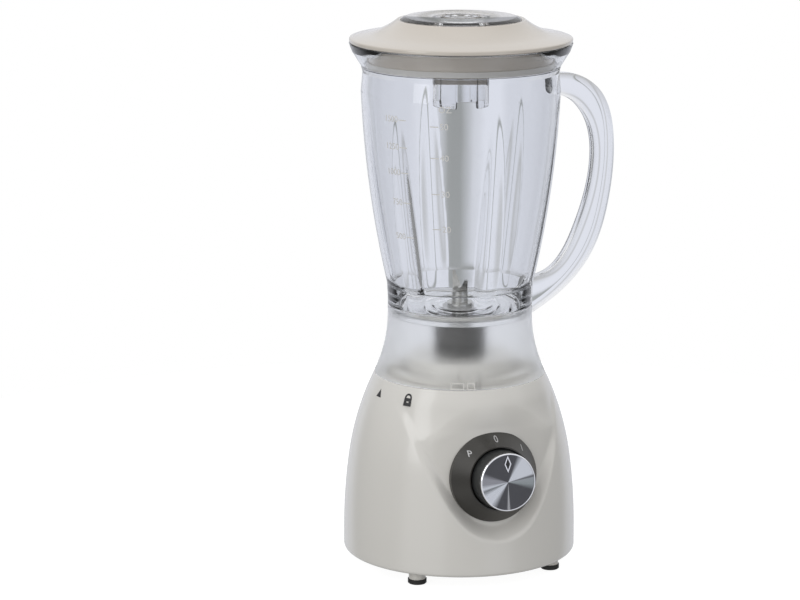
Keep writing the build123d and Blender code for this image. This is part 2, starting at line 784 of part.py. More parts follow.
# Dial: bezel, switch, knob
bezel_back = 8.0
with BuildPart() as dial_bezel:
    with BuildSketch(dial_plane(-bezel_back)):
        Circle(bezel_r)
    extrude(amount=bezel_back + 1.0)
    with BuildSketch(dial_plane(1.0)):
        Circle(bezel_r)
    with BuildSketch(dial_plane(bezel_h)):
        Circle(bezel_bore_r + 0.9)
    loft()
    with BuildSketch(dial_plane(knob_from - 2.4)):
        Circle(bezel_bore_r)
    extrude(amount=bezel_h, mode=Mode.SUBTRACT)
    with BuildSketch(dial_plane(bezel_h)):
        Circle(switch_bush_r + screw_room)
    extrude(amount=-3 * bezel_h, mode=Mode.SUBTRACT)
    add(housing_form(-snug), mode=Mode.SUBTRACT)
save("dial_bezel", dial_bezel)

with BuildPart() as rotary_switch:
    with BuildSketch(dial_plane(switch_back)):
        Circle(switch_r)
        Rectangle(2 * switch_r - 8, 2 * switch_r + 4)
    extrude(amount=switch_front - switch_back)
    with BuildSketch(dial_plane(switch_front)):
        Circle(switch_bush_r)
    extrude(amount=knob_from - switch_front)
    with BuildSketch(dial_plane(knob_from)):
        Circle(spindle_r + running)
    extrude(amount=-(knob_from - switch_front + 6), mode=Mode.SUBTRACT)
save("rotary_switch", rotary_switch)

with BuildPart() as switch_nut:
    with BuildSketch(dial_plane(knob_from - 2.4 + snug)):
        RegularPolygon(switch_nut_r, 6)
        Circle(switch_bush_r + snug, mode=Mode.SUBTRACT)
    extrude(amount=2.0)
save("switch_nut", switch_nut)

with BuildPart() as switch_spindle:
    with BuildSketch(dial_plane(switch_front - 5)):
        Circle(spindle_r)
    extrude(amount=knob_h - switch_front - 5)
save("switch_spindle", switch_spindle)

knob_body_h = knob_h - knob_cap_h
with BuildPart() as knob_body:
    with BuildSketch(dial_plane(knob_from + gap)):
        Circle(knob_r)
    with BuildSketch(dial_plane(knob_body_h)):
        Circle(knob_face_r)
    loft()
    with BuildSketch(dial_plane(knob_from)):
        Circle(knob_r - knob_wall)
        Circle(spindle_r + 2.5, mode=Mode.SUBTRACT)
    extrude(amount=knob_body_h - knob_from - knob_wall, mode=Mode.SUBTRACT)
    with BuildSketch(dial_plane(knob_from)):
        Circle(spindle_r + snug)
    extrude(amount=knob_h - 5 - knob_from + snug, mode=Mode.SUBTRACT)
    with BuildSketch(dial_plane(0)):
        Circle(switch_nut_r + 1)
        Circle(spindle_r + snug, mode=Mode.SUBTRACT)
    extrude(amount=knob_from + 1.2, mode=Mode.SUBTRACT)
save("knob_body", knob_body)

with BuildPart() as knob_trim:
    with BuildSketch(dial_plane(knob_body_h + snug)):
        Circle(knob_face_r)
        Circle(knob_face_r - knob_trim_w, mode=Mode.SUBTRACT)
    extrude(amount=knob_cap_h)
    chamfer(edges().sort_by(Axis.Y)[0], 0.4)
save("knob_trim", knob_trim)

pointer_at = knob_face_r - knob_trim_w - 2.2 - pointer_len / 2
diamond = [(0, pointer_len / 2), (pointer_w / 2, 0), (0, -pointer_len / 2), (-pointer_w / 2, 0)]
with BuildPart() as knob_cap:
    with BuildSketch(dial_plane(knob_body_h + snug)):
        Circle(knob_face_r - knob_trim_w - snug)
    extrude(amount=knob_cap_h - 0.5)
    with BuildSketch(dial_plane(knob_h)):
        with Locations((0, pointer_at)):
            Polygon(*diamond, align=None)
    extrude(amount=-pointer_pocket, mode=Mode.SUBTRACT)
save("knob_cap", knob_cap)

with BuildPart() as knob_pointer:
    with BuildSketch(dial_plane(knob_h - pointer_pocket + snug)):
        with Locations((0, pointer_at)):
            Polygon(*diamond, align=None)
        offset(amount=-snug, mode=Mode.REPLACE)
    extrude(amount=pointer_h)
save("knob_pointer", knob_pointer)

# Interlock: a switch under the deck, closed by the ring that the jug turns
with BuildPart() as interlock_switch:
    with BuildSketch(Plane.XY.offset(deck_z - housing_wall - interlock_size[2])):
        with Locations((-(ring_r[0] + ring_r[1]) / 2, 0)):
            Rectangle(interlock_size[0], interlock_size[1])
    extrude(amount=interlock_size[2] - snug)
save("interlock_switch", interlock_switch)

ring_z = deck_z + gap
with BuildPart() as lock_ring:
    tube(ring_z, ring_z + ring_h, ring_r[1], ring_r[0])
    for k in range(ring_tabs):
        middle = ring_tab_start + k * 360 / ring_tabs
        sector(ring_r[0], ring_tab_r, ring_tab_angle / 2, middle, ring_z, ring_z + ring_tab_h)
save("lock_ring", lock_ring)

# Jug skirt, with ribs that take the lock ring's tabs
skirt_under_z = deck_z + gap


def skirt_side(inset):
    foot = (skirt_foot_r - inset, skirt_under_z)
    TangentArc((skirt_top_r - inset, skirt_straight_z), foot, tangent=(0, -1))


with BuildPart() as skirt_cavity:
    with BuildSketch(Plane.XZ):
        with BuildLine():
            skirt_side(skirt_wall)
            Polyline(
                (skirt_top_r - skirt_wall, skirt_straight_z),
                (skirt_top_r - skirt_wall, skirt_z),
                (0, skirt_z),
                (0, skirt_under_z),
                (skirt_foot_r - skirt_wall, skirt_under_z),
            )
        make_face()
    revolve(axis=Axis.Z)
    for k in range(ring_tabs):
        for side in (-1, 1):
            middle = ring_tab_start + k * 360 / ring_tabs + side * (ring_tab_angle / 2 + skirt_rib_away)
            with BuildSketch(Plane.XY.offset(skirt_under_z).rotated((0, 0, middle))):
                with Locations((skirt_foot_r - 3, 0)):
                    Rectangle(skirt_rib[0], skirt_rib[1])
            extrude(amount=skirt_rib[2], mode=Mode.SUBTRACT)

with BuildPart() as jar_skirt:
    with BuildSketch(Plane.XZ):
        with BuildLine():
            skirt_side(0)
            Polyline(
                (skirt_top_r, skirt_straight_z),
                (skirt_top_r, skirt_z - snug),
                (0, skirt_z - snug),
                (0, skirt_under_z),
                (skirt_foot_r, skirt_under_z),
            )
        make_face()
    revolve(axis=Axis.Z)
    add(skirt_cavity.part, mode=Mode.SUBTRACT)
save("jar_skirt", jar_skirt)

# Handle, in the plane of the jug's axis, then rounded along its length
with BuildPart() as handle:
    with BuildSketch(Plane.XZ):
        with BuildLine():
            outer = Spline(
                (jar_neck_r - 2.2, handle_top_z),
                (handle_reach - 31.6, handle_top_z - 1.6),
                (handle_reach - 11.6, handle_top_z - 14.0),
                (handle_reach, handle_top_z - 50.5),
                (handle_reach - 3.1, handle_low_z + 84.5),
                (handle_reach - 16.6, handle_low_z + 43.5),
                (handle_reach - 42.6, handle_low_z + 14.5),
                (skirt_top_r + 1.0, handle_low_z),
            )
            inner = Spline(
                (jar_band_r - 1.4, handle_low_z + 27.0),
                (handle_reach - 50.6, handle_low_z + 32.3),
                (handle_reach - 29.1, handle_low_z + 63.0),
                (handle_reach - 16.8, handle_top_z - 70.5),
                (handle_reach - 21.1, handle_top_z - 36.5),
                (handle_reach - 36.6, handle_top_z - 19.1),
                (jar_neck_r - 2.2, handle_top_z - 15.0),
            )
            foot_z = skirt_z + snug
            Polyline(outer @ 1, (skirt_top_r + 1.0, foot_z), (jar_band_r - 1.4, foot_z), inner @ 0)
            Line(inner @ 1, outer @ 0)
        make_face()
    extrude(amount=handle_w / 2, both=True)
    long_edges = edges().filter_by(lambda e: e.length > 100)
    fillet(long_edges, handle_round)


# Jar
def jar_side(inset):
    foot = (jar_foot_r - inset, jar_foot_z)
    ThreePointArc(foot, (jar_belly_r - inset, jar_belly_z), (jar_neck_r - inset, jar_neck_z))


# Each rib is part of a leaning cone. Its line nearest the drive axis meets the wall
# at the rib's upper end and stands clear of it at the foot.
rib_top = Vector(jar_neck_r - jar_wall - 1.6 + rib_r[0], 0, rib_top_z)
rib_foot = Vector(rib_foot_r + rib_r[1], 0, rib_foot_z)
rib_lean = (rib_foot - rib_top).normalized()
rib_over = (rib_r[1] - rib_r[0]) / 4     # the cone runs on by a quarter of its length
rib_start = rib_top - (rib_foot - rib_top) * 0.25
spigot_r = skirt_top_r - skirt_wall - 0.2
floor_corner_r = spigot_r - jar_wall - jar_floor_corner
with BuildPart() as jar_cavity:
    with BuildSketch(Plane.XZ):
        with BuildLine():
            Polyline(
                (0, jar_floor_z),
                (floor_corner_r, jar_floor_z),
                (spigot_r - jar_wall, jar_floor_z + jar_floor_corner),
                (jar_foot_r - jar_wall - 1.2, skirt_z + 6.2),
                (jar_foot_r - jar_wall, jar_foot_z),
            )
            jar_side(jar_wall)
            Polyline(
                (jar_neck_r - jar_wall, jar_neck_z),
                (jar_groove_r - jar_wall, jar_collar_z - 4.5),
                (jar_groove_r - jar_wall, jar_collar_z - 0.6),
                (jar_collar_r - jar_wall + 0.4, jar_collar_z - 0.6),
                (jar_collar_r - jar_wall + 0.4, jar_collar_z + 2),
                (jar_mouth_r - jar_wall, jar_rim_z),
                (0, jar_rim_z),
                (0, jar_floor_z),
            )
        make_face()
    revolve(axis=Axis.Z)
    with PolarLocations(0, rib_count, start_angle=-90):
        with Locations(Plane(origin=rib_start, x_dir=(0, 1, 0), z_dir=rib_lean)):
            Cone(
                rib_r[0] - rib_over,
                rib_r[1] + rib_over,
                (rib_foot - rib_top).length * 1.5,
                align=(Align.CENTER, Align.CENTER, Align.MIN),
                mode=Mode.SUBTRACT,
            )

with BuildPart() as jar:
    with BuildSketch(Plane.XZ):
        with BuildLine():
            Polyline(
                (0, jar_floor_z - jar_floor_h),
                (spigot_r, jar_floor_z - jar_floor_h),
                (spigot_r, skirt_z),
                (jar_band_r, skirt_z),
                (jar_band_r, skirt_z + 5.2),
                (jar_foot_r, jar_foot_z),
            )
            jar_side(0)
            Polyline(
                (jar_neck_r, jar_neck_z),
                (jar_groove_r, jar_collar_z - 4.5),
                (jar_collar_r, jar_collar_z),
                (jar_mouth_r - 2.1, jar_rim_z - 6.2),
                (jar_mouth_r, jar_rim_z - 0.4),
                (jar_mouth_r - 0.3, jar_rim_z),
                (0, jar_rim_z),
                (0, jar_floor_z - jar_floor_h),
            )
        make_face()
    revolve(axis=Axis.Z)
    add(handle.part)
    add(jar_cavity.part, mode=Mode.SUBTRACT)
    with BuildSketch(Plane.XY.offset(jar_floor_z - jar_floor_h)):
        Circle(hub_r + snug)
    extrude(amount=jar_floor_h, mode=Mode.SUBTRACT)
    for ring in jar_mark_r:
        with BuildSketch(Plane.XY.offset(jar_floor_z - 0.2)):
            Circle(ring + jar_mark_w / 2)
            Circle(ring - jar_mark_w / 2, mode=Mode.SUBTRACT)
        extrude(amount=0.2 + jar_mark_h)
save("jar", jar)

# Blade unit: hub clamped to the jar's floor, two bushes, shaft and two blades
floor_under_z = jar_floor_z - jar_floor_h
with BuildPart() as blade_hub:
    tube(hub_bottom_z, hub_top_z, hub_r, bush_r + snug)
    tube(jar_floor_z + snug, jar_floor_z + snug + hub_flange_h, hub_flange_r, bush_r + snug)
save("blade_hub", blade_hub)

with BuildPart() as upper_bush:
    tube(hub_top_z - bush_h - 0.2, hub_top_z - 0.2, bush_r, blade_shaft_r + running)
save("upper_bush", upper_bush)

with BuildPart() as lower_bush:
    tube(hub_bottom_z + 0.2, hub_bottom_z + 0.2 + bush_h, bush_r, blade_shaft_r + running)
save("lower_bush", lower_bush)

with BuildPart() as blade_seal:
    tube(floor_under_z - blade_seal_h, floor_under_z - snug, lock_nut_r, hub_r + snug)
save("blade_seal", blade_seal)

with BuildPart() as blade_lock_nut:
    with BuildSketch(Plane.XY.offset(floor_under_z - blade_seal_h - snug - lock_nut_h)):
        RegularPolygon(lock_nut_r, 6)
        Circle(hub_r + snug, mode=Mode.SUBTRACT)
    extrude(amount=lock_nut_h)
save("blade_lock_nut", blade_lock_nut)

with BuildPart() as blade_shaft:
    tube(blade_shaft_z[0], blade_shaft_z[1], blade_shaft_r)
save("blade_shaft", blade_shaft)


# A blade is a strip cut from its bent side view, pointed at both ends
def blade(angle, z0, flat, tip_r, tip_rise):
    side_view = [(-tip_r, z0 + tip_rise), (-flat, z0), (flat, z0), (tip_r, z0 + tip_rise)]
    with BuildPart() as strip:
        with BuildSketch(Plane.XZ.rotated((0, 0, angle))):
            with BuildLine():
                Polyline(*side_view, *[(x, z + blade_t) for x, z in reversed(side_view)], close=True)
            make_face()
        extrude(amount=blade_w / 2, both=True)
        with BuildSketch(Plane.XY.rotated((0, 0, angle))):
            half = blade_w / 2
            tip = [(tip_r + 1, -half * 0.15), (tip_r + 1, -half * 0.5)]
            outline = [(flat * 0.45, half), *tip, (flat * 0.5, -half)]
            Polygon(*outline, *[(-x, -y) for x, y in outline], align=None)
        extrude(amount=2 * z0, mode=Mode.INTERSECT)
        with BuildSketch():
            Circle(blade_shaft_r + snug)
        extrude(amount=2 * z0, mode=Mode.SUBTRACT)
    return strip


blade_z = hub_top_z + gap + 0.2
lower_blade = blade(blade_angle, blade_z, *lower_blade_form)
save("lower_blade", lower_blade)
upper_blade_z = blade_z + blade_t + snug
upper_blade = blade(blade_angle + blade_cross, upper_blade_z, *upper_blade_form)
save("upper_blade", upper_blade)

with BuildPart() as blade_nut:
    with BuildSketch(Plane.XY.offset(upper_blade_z + blade_t + snug)):
        RegularPolygon(blade_nut_r, 6)
        Circle(blade_shaft_r + snug, mode=Mode.SUBTRACT)
    extrude(amount=blade_nut_h)
save("blade_nut", blade_nut)

# Lid: edge plate, raised dome, seat for the cap, and a skirt into the jar's mouth
with BuildPart() as lid:
    with BuildSketch(Plane.XZ):
        with BuildLine():
            Polyline(
                (cup_r + gap + 0.5, lid_seat_z),
                (lid_seat_r, lid_seat_z),
                (lid_seat_r, lid_rim_z - 0.4),
                (lid_seat_r + 0.5, lid_rim_z),
                (lid_rim_r, lid_rim_z - 0.2),
                (lid_dome_foot_r, lid_top_z),
                (lid_r - 0.8, lid_top_z - 0.3),
                (lid_r, lid_top_z - 1.1),
                (lid_r, lid_edge_z + 0.4),
                (lid_r - 0.4, lid_edge_z),
                (lid_skirt_r, lid_edge_z),
                (lid_skirt_r, lid_skirt_z),
                (lid_bore_r, lid_skirt_z),
                (lid_bore_r, lid_under_z),
                (lid_rim_r - 1.2, lid_seat_z - lid_wall),
                (cup_r + gap + 0.5 + lid_wall, lid_seat_z - lid_wall),
                (cup_r + gap + 0.5 + lid_wall, lid_seat_z - lid_spout),
                (cup_r + gap + 0.5, lid_seat_z - lid_spout),
                close=True,
            )
        make_face()
    revolve(axis=Axis.Z)
    with BuildSketch(Plane.XZ):
        with Locations((lid_skirt_r, lid_skirt_z + lid_seal_up + lid_seal_h / 2)):
            Rectangle(2 * lid_seal_groove, lid_seal_h + 2 * snug)
    revolve(axis=Axis.Z, mode=Mode.SUBTRACT)
save("lid", lid)

with BuildPart() as lid_seal:
    seal_in = lid_skirt_r - lid_seal_groove + snug
    seal_z = lid_skirt_z + lid_seal_up
    tube(seal_z, seal_z + lid_seal_h, seal_in + lid_seal_w, seal_in)
save("lid_seal", lid_seal)

with BuildPart() as filler_cap:
    tube(cup_foot_z, cap_z + 1, cup_r)
    tube(cap_z, cap_z + cap_h, cap_r)
    fillet(edges().group_by(Axis.Z)[-1], cap_round)
    with BuildSketch(Plane.XY.offset(cap_z + cap_h - cap_recess_depth)):
        Circle(cap_recess_r)
        Circle(cap_recess_r - cap_recess_w, mode=Mode.SUBTRACT)
    extrude(amount=cap_recess_depth, mode=Mode.SUBTRACT)
    with BuildSketch(Plane.XY.offset(cup_foot_z)):
        Circle(cup_r - cup_wall)
    extrude(amount=cap_z - cup_foot_z, mode=Mode.SUBTRACT)
save("filler_cap", filler_cap)
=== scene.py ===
import json
import math

import bmesh
import bpy
import numpy as np
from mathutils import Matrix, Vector


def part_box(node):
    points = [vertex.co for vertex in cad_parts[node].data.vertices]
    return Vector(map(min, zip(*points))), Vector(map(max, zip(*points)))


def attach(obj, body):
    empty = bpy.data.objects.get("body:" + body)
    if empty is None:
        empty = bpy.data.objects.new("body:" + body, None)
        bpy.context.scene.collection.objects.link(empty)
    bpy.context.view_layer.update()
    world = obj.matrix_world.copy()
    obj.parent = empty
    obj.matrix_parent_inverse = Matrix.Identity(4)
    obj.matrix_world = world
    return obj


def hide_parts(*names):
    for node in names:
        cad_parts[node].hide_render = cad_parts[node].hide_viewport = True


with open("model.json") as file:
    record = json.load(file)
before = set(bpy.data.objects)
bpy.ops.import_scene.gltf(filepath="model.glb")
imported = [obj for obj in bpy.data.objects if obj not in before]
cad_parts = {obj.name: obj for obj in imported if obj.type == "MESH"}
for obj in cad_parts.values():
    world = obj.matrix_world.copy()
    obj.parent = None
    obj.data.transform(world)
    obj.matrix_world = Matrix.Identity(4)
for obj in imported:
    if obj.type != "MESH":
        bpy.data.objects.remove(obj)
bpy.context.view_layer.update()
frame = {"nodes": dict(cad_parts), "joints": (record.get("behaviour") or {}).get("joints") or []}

mm = 0.001
nodes = frame["nodes"]
scene = bpy.context.scene


def jointOf(name):
    return next(j for j in frame["joints"] if j["name"] == name)


# Levels that several pieces share, taken from the frame
axisUp = Vector((0, 0, 1))
lockGap = 0.3 * mm      # under the lock ring
hubUp = 11.5 * mm       # the blade hub's top above the jug's floor
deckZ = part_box("lock_ring")[0].z - lockGap
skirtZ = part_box("jar_skirt")[1].z
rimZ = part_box("jar")[1].z
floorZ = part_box("blade_hub")[1].z - hubUp
baseLow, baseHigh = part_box("base_housing")
baseR = baseHigh.x
knobAxis = Vector(jointOf("knob_turn")["axis"]).normalized()
dialFoot = Vector(jointOf("knob_turn")["pos_m"])
dialOut = -knobAxis if knobAxis.y > 0 else knobAxis
dialUp = (axisUp - dialOut * axisUp.dot(dialOut)).normalized()
dialSide = dialUp.cross(dialOut).normalized()
print("frame loaded", len(nodes), "nodes")

# ---- camera ----
cameraSet = {
    "place": (-0.7548, -1.9766, 0.664),
    "down": 12.49,      # degrees below level
    "azimuth": -20.9,   # degrees the axis stands from the front
    "aside": 1.19,      # degrees turned away, so that the object stands right of the middle
    "lens": 132.8,
    "sensor": 36,
}


def makeCamera(c):
    data = bpy.data.cameras.new("photoCamera")
    data.lens = c["lens"]
    data.sensor_width = c["sensor"]
    data.dof.use_dof = False
    camera = bpy.data.objects.new("photoCamera", data)
    camera.location = c["place"]
    turn = math.radians(c["azimuth"] + c["aside"])
    camera.rotation_euler = (math.radians(90 - c["down"]), 0, turn)
    scene.collection.objects.link(camera)
    scene.camera = camera


makeCamera(cameraSet)


# ---- nodes ----
class Wire:
    # one output socket; sums on it add Math nodes
    def __init__(self, tree, socket):
        self.tree = tree
        self.socket = socket

    def node(self, kind, settings=None, inputs=None, output=0):
        made = self.tree.nodes.new("ShaderNode" + kind)
        stops = (settings or {}).get("stops")
        for key, value in (settings or {}).items():
            if key != "stops":
                setattr(made, key, value)
        if stops:
            ramp = made.color_ramp
            while len(ramp.elements) < len(stops):
                ramp.elements.new(0.5)
            for element, (at, colour) in zip(ramp.elements, stops):
                element.position = at
                element.color = (*colour, 1)
        for key, value in (inputs or {}).items():
            if isinstance(value, Wire):
                self.tree.links.new(value.socket, made.inputs[key])
            elif value is not None:
                target = made.inputs[key]
                isColour = target.type == "RGBA" and len(value) == 3
                target.default_value = (*value, 1) if isColour else value
        return Wire(self.tree, made.outputs[output])

    def maths(self, operation, first, second=None, clamp=False):
        return self.node("Math", {"operation": operation, "use_clamp": clamp}, {0: first, 1: second})

    def __add__(self, other):
        return self.maths("ADD", self, other)

    def __sub__(self, other):
        return self.maths("SUBTRACT", self, other)

    def __mul__(self, other):
        return self.maths("MULTIPLY", self, other)

    def __truediv__(self, other):
        return self.maths("DIVIDE", self, other)

    def clamped(self):
        return self.maths("ADD", self, 0.0, True)

    def sine(self):
        return self.maths("SINE", self)

    def mixed(self, low, high):
        # low where this is 0, high where it is 1
        settings = {"data_type": "RGBA", "clamp_factor": True}
        return self.node("Mix", settings, {0: self, 6: low, 7: high}, 2)

    def noise(self, scale, detail, stretch=None):
        # this is a point; the result runs from 0 to 1
        place = self
        if stretch:
            place = self.node("VectorMath", {"operation": "MULTIPLY"}, {0: self, 1: stretch})
        return place.node("TexNoise", None, {"Vector": place, "Scale": scale, "Detail": detail})


class Finish:
    # a material with one Principled shader and the rest position in metres
    def __init__(self, name, **constants):
        self.material = bpy.data.materials.new(name)
        self.material.use_nodes = True
        self.tree = self.material.node_tree
        self.shader = self.tree.nodes["Principled BSDF"]
        for key, value in constants.items():
            self.put(key, value)
        coordinates = self.tree.nodes.new("ShaderNodeTexCoord")
        self.place = Wire(self.tree, coordinates.outputs["Object"])

    def put(self, key, value):
        socket = self.shader.inputs[sockets[key]]
        if isinstance(value, Wire):
            self.tree.links.new(value.socket, socket)
        else:
            isColour = socket.type == "RGBA" and len(value) == 3
            socket.default_value = (*value, 1) if isColour else value

    def bump(self, height, depth, strength):
        # height runs from 0 to 1 and stands for depth, in metres
        settings = {"Strength": strength, "Distance": depth, "Height": height}
        self.put("normal", self.place.node("Bump", None, settings))

    def passLight(self, tint):
        # light from the lamps and the studio reaches what stands inside the piece
        path = self.place.node("LightPath", None, None, "Is Shadow Ray")
        clearWay = self.place.node("BsdfTransparent", None, {"Color": tint})
        body = Wire(self.tree, self.shader.outputs[0])
        both = self.place.node("MixShader", None, {0: path, 1: body, 2: clearWay})
        self.tree.links.new(both.socket, self.tree.nodes["Material Output"].inputs[0])

    def part(self, letter):
        index = "XYZ".index(letter)
        return self.place.node("SeparateXYZ", None, {0: self.place}, index)


sockets = {
    "colour": "Base Color", "roughness": "Roughness", "metallic": "Metallic", "normal": "Normal",
    "coat": "Coat Weight", "coatRoughness": "Coat Roughness", "specular": "Specular IOR Level",
    "ior": "IOR", "transmission": "Transmission Weight",
    "emission": "Emission Color", "glow": "Emission Strength",
}


# ---- light ----
lightSet = {
    "backdrop": (0.37, 0.385, 0.385),  # the grey that is seen through the middle of the jug
    "strips": (0.84, 0.86, 0.93),      # bright sides
    "shade": (0.60, 0.61, 0.63),       # a fainter line within the bright sides
    "room": (0.40, 0.39, 0.375),       # in front of the object
    "edges": (0.20, 0.205, 0.21),      # far to the sides, for dark outlines in clear pieces
    "upper": (1.0, 1.0, 1.01),         # from above
    "lower": (0.44, 0.44, 0.435),      # from below
    "key": (1.0, 1.0, 1.0),            # brighter, on the left
    "strength": 0.92,
    # tones behind and in front of the object, from 0 at the far left to 1 at the far right
    "farLeft": ((0.0, "edges"), (0.09, "edges"), (0.17, "strips"), (0.36, "strips"),
                (0.41, "shade"), (0.44, "strips")),
    "band": (-0.0135, -0.0105, 0.0055, 0.0085),  # sines of the grey band's edges, seen from the axis
    "farRight": ((0.56, "strips"), (0.60, "shade"), (0.65, "strips"), (0.83, "strips"), (0.91, "edges")),
    "near": ((0.00, "edges"), (0.06, "edges"), (0.12, "key"), (0.35, "key"), (0.42, "room"),
             (0.68, "room"), (0.73, "strips"), (0.86, "strips"), (0.91, "edges")),
    "turnover": 4.0,                   # how quickly the near tones give way to the far ones
    "lift": (2.4, 0.02),               # rate and start of the change to the upper tone
    "drop": (1.6, 0.40),               # and to the lower tone
    "floorR": 0.62,
    "floorGlow": 0.90,
    "floorTones": ((0.22, 0.22, 0.22), (0.24, 0.24, 0.24)),
}


def makeWorld(c):
    world = bpy.data.worlds.new("studio")
    world.use_nodes = True
    scene.world = world
    tree = world.node_tree
    tree.nodes.clear()
    toward = math.radians(cameraSet["azimuth"])
    rightWay = (math.cos(toward), math.sin(toward), 0)
    behind = (-math.sin(toward), math.cos(toward), 0)
    coordinates = tree.nodes.new("ShaderNodeTexCoord")
    direction = Wire(tree, coordinates.outputs["Generated"])
    dot = {"operation": "DOT_PRODUCT"}
    across = direction.node("VectorMath", dot, {0: direction, 1: rightWay}, 1)
    depth = direction.node("VectorMath", dot, {0: direction, 1: behind}, 1)

    def stops(rows):
        return [(at, c[tone]) for at, tone in rows]

    leftOut, leftIn, rightIn, rightOut = (0.5 + 0.5 * edge for edge in c["band"])
    bright, grey = c["strips"], c["backdrop"]
    band = [(leftOut, bright), (leftIn, grey), (rightIn, grey), (rightOut, bright)]
    place = across * 0.5 + 0.5
    far = across.node("ValToRGB", {"stops": stops(c["farLeft"]) + band + stops(c["farRight"])}, {0: place})
    front = across.node("ValToRGB", {"stops": stops(c["near"])}, {0: place})
    side = (depth * c["turnover"] + 0.5).clamped().mixed(front, far)
    height = direction.node("SeparateXYZ", None, {0: direction}, 2)
    (liftRate, liftFrom), (dropRate, dropFrom) = c["lift"], c["drop"]
    lift = (height * liftRate - liftFrom).clamped()
    drop = (height * -dropRate - dropFrom).clamped()
    tone = lift.mixed(drop.mixed(side, c["lower"]), c["upper"])
    soft = direction.node("Background", None, {"Color": tone, "Strength": c["strength"]})
    plain = direction.node("Background", None, {"Color": (1, 1, 1), "Strength": 1.0})
    seen = direction.node("LightPath")
    both = direction.node("MixShader", None, {0: seen, 1: soft, 2: plain})
    output = tree.nodes.new("ShaderNodeOutputWorld")
    tree.links.new(both.socket, output.inputs[0])


softboxes = {
    "overhead": {"place": (0.1, -0.2, 1.9), "aim": (0, 0, 0.1), "size": (1.7, 1.7),
                 "energy": 1.5, "colour": (1, 1, 1)},
    "leftBox": {"place": (-1.45, -0.65, 0.85), "aim": (0, 0, 0.25), "size": (0.6, 1.3),
                "energy": 5.0, "colour": (0.98, 0.985, 1.0)},
    "rightBox": {"place": (1.25, -0.75, 0.85), "aim": (0, 0, 0.25), "size": (0.4, 1.3),
                 "energy": 0.5, "colour": (1.0, 0.99, 0.97)},
}


def makeSoftbox(name, c):
    data = bpy.data.lights.new(name, "AREA")
    data.shape = "RECTANGLE"
    data.size, data.size_y = c["size"]
    data.energy = c["energy"]
    data.color = c["colour"]
    box = bpy.data.objects.new(name, data)
    box.location = c["place"]
    box.rotation_euler = (Vector(c["aim"]) - Vector(c["place"])).to_track_quat("-Z", "Y").to_euler()
    box.visible_camera = False
    box.visible_transmission = False
    scene.collection.objects.link(box)


def makeFloor(c):
    mesh = bpy.data.meshes.new("floorDisc")
    build = bmesh.new()
    bmesh.ops.create_circle(build, cap_ends=True, segments=96, radius=c["floorR"])
    build.to_mesh(mesh)
    build.free()
    floor = bpy.data.objects.new("floorDisc", mesh)
    scene.collection.objects.link(floor)
    floor.visible_diffuse = floor.visible_glossy = False
    floor.visible_transmission = floor.visible_shadow = False
    paper = Finish("paleFloor", roughness=0.85, specular=0.1, emission=(1, 1, 1), glow=c["floorGlow"])
    speck = paper.place.noise(scale=40.0, detail=3.0)
    paper.put("colour", speck.mixed(*c["floorTones"]))
    mesh.materials.append(paper.material)


makeWorld(lightSet)
for name, c in softboxes.items():
    makeSoftbox(name, c)
makeFloor(lightSet)
scene.view_settings.view_transform = "Standard"
scene.cycles.use_denoising = True
scene.cycles.transmission_bounces = 16
scene.cycles.max_bounces = 20
print("camera and light placed")


# ---- finishes ----
def makeCream(name, low, high, roughness):
    f = Finish(name, ior=1.5, coat=0.35, coatRoughness=0.08)
    cloud = f.place.noise(scale=9.0, detail=3.0)
    grain = f.place.noise(scale=2600.0, detail=2.0)
    f.put("colour", cloud.mixed(low, high))
    f.put("roughness", cloud * 0.05 + roughness)
    f.bump(grain, depth=0.01 * mm, strength=0.5)
    return f.material


def makeClear():
    f = Finish("clearPlastic", ior=1.47, transmission=1.0, specular=0.5)
    cloud = f.place.noise(scale=14.0, detail=2.0)
    wave = f.place.noise(scale=60.0, detail=1.0, stretch=(1, 1, 0.25))
    f.put("colour", cloud.mixed((0.935, 0.945, 0.96), (0.955, 0.96, 0.975)))
    f.put("roughness", cloud * 0.02 + 0.01)
    f.bump(wave, depth=0.12 * mm, strength=0.25)
    f.passLight((0.90, 0.905, 0.92))
    return f.material


def makeFrosted():
    f = Finish("frostedPlastic", ior=1.22, transmission=0.98)
    cloud = f.place.noise(scale=20.0, detail=2.0)
    grain = f.place.noise(scale=1800.0, detail=2.0)
    f.put("colour", cloud.mixed((0.965, 0.97, 0.975), (0.985, 0.99, 0.99)))
    f.put("roughness", cloud * 0.04 + 0.37)
    f.bump(grain, depth=0.02 * mm, strength=0.6)
    f.passLight((0.80, 0.81, 0.82))
    return f.material


def makeSatin(name, low, high, roughness, metallic=0.0, grain=1500.0, coat=0.0):
    f = Finish(name, metallic=metallic, coat=coat)
    cloud = f.place.noise(scale=45.0, detail=3.0)
    fine = f.place.noise(scale=grain, detail=2.0)
    f.put("colour", (cloud * 0.6 + fine * 0.4).mixed(low, high))
    f.put("roughness", fine * 0.08 + roughness)
    f.bump(fine, depth=0.015 * mm, strength=0.5)
    return f.material


def makeBrushed(name, low, high, roughness, stretch=(1, 1, 12)):
    f = Finish(name, metallic=1.0)
    streak = f.place.noise(scale=260.0, detail=4.0, stretch=stretch)
    f.put("colour", streak.mixed(low, high))
    f.put("roughness", streak * 0.14 + roughness)
    f.bump(streak, depth=0.01 * mm, strength=0.4)
    return f.material


def makeLayered(name, low, high, pitch, roughness, metallic):
    # fine even layers along Z, such as laminations or turns of wire
    f = Finish(name, metallic=metallic)
    layer = (f.part("Z") * (2 * math.pi / pitch)).sine() * 0.5 + 0.5
    stain = f.place.noise(scale=120.0, detail=3.0)
    f.put("colour", (layer * 0.6 + stain * 0.4).mixed(low, high))
    f.put("roughness", stain * 0.15 + roughness)
    f.bump(layer, depth=pitch * 0.3, strength=0.6)
    return f.material


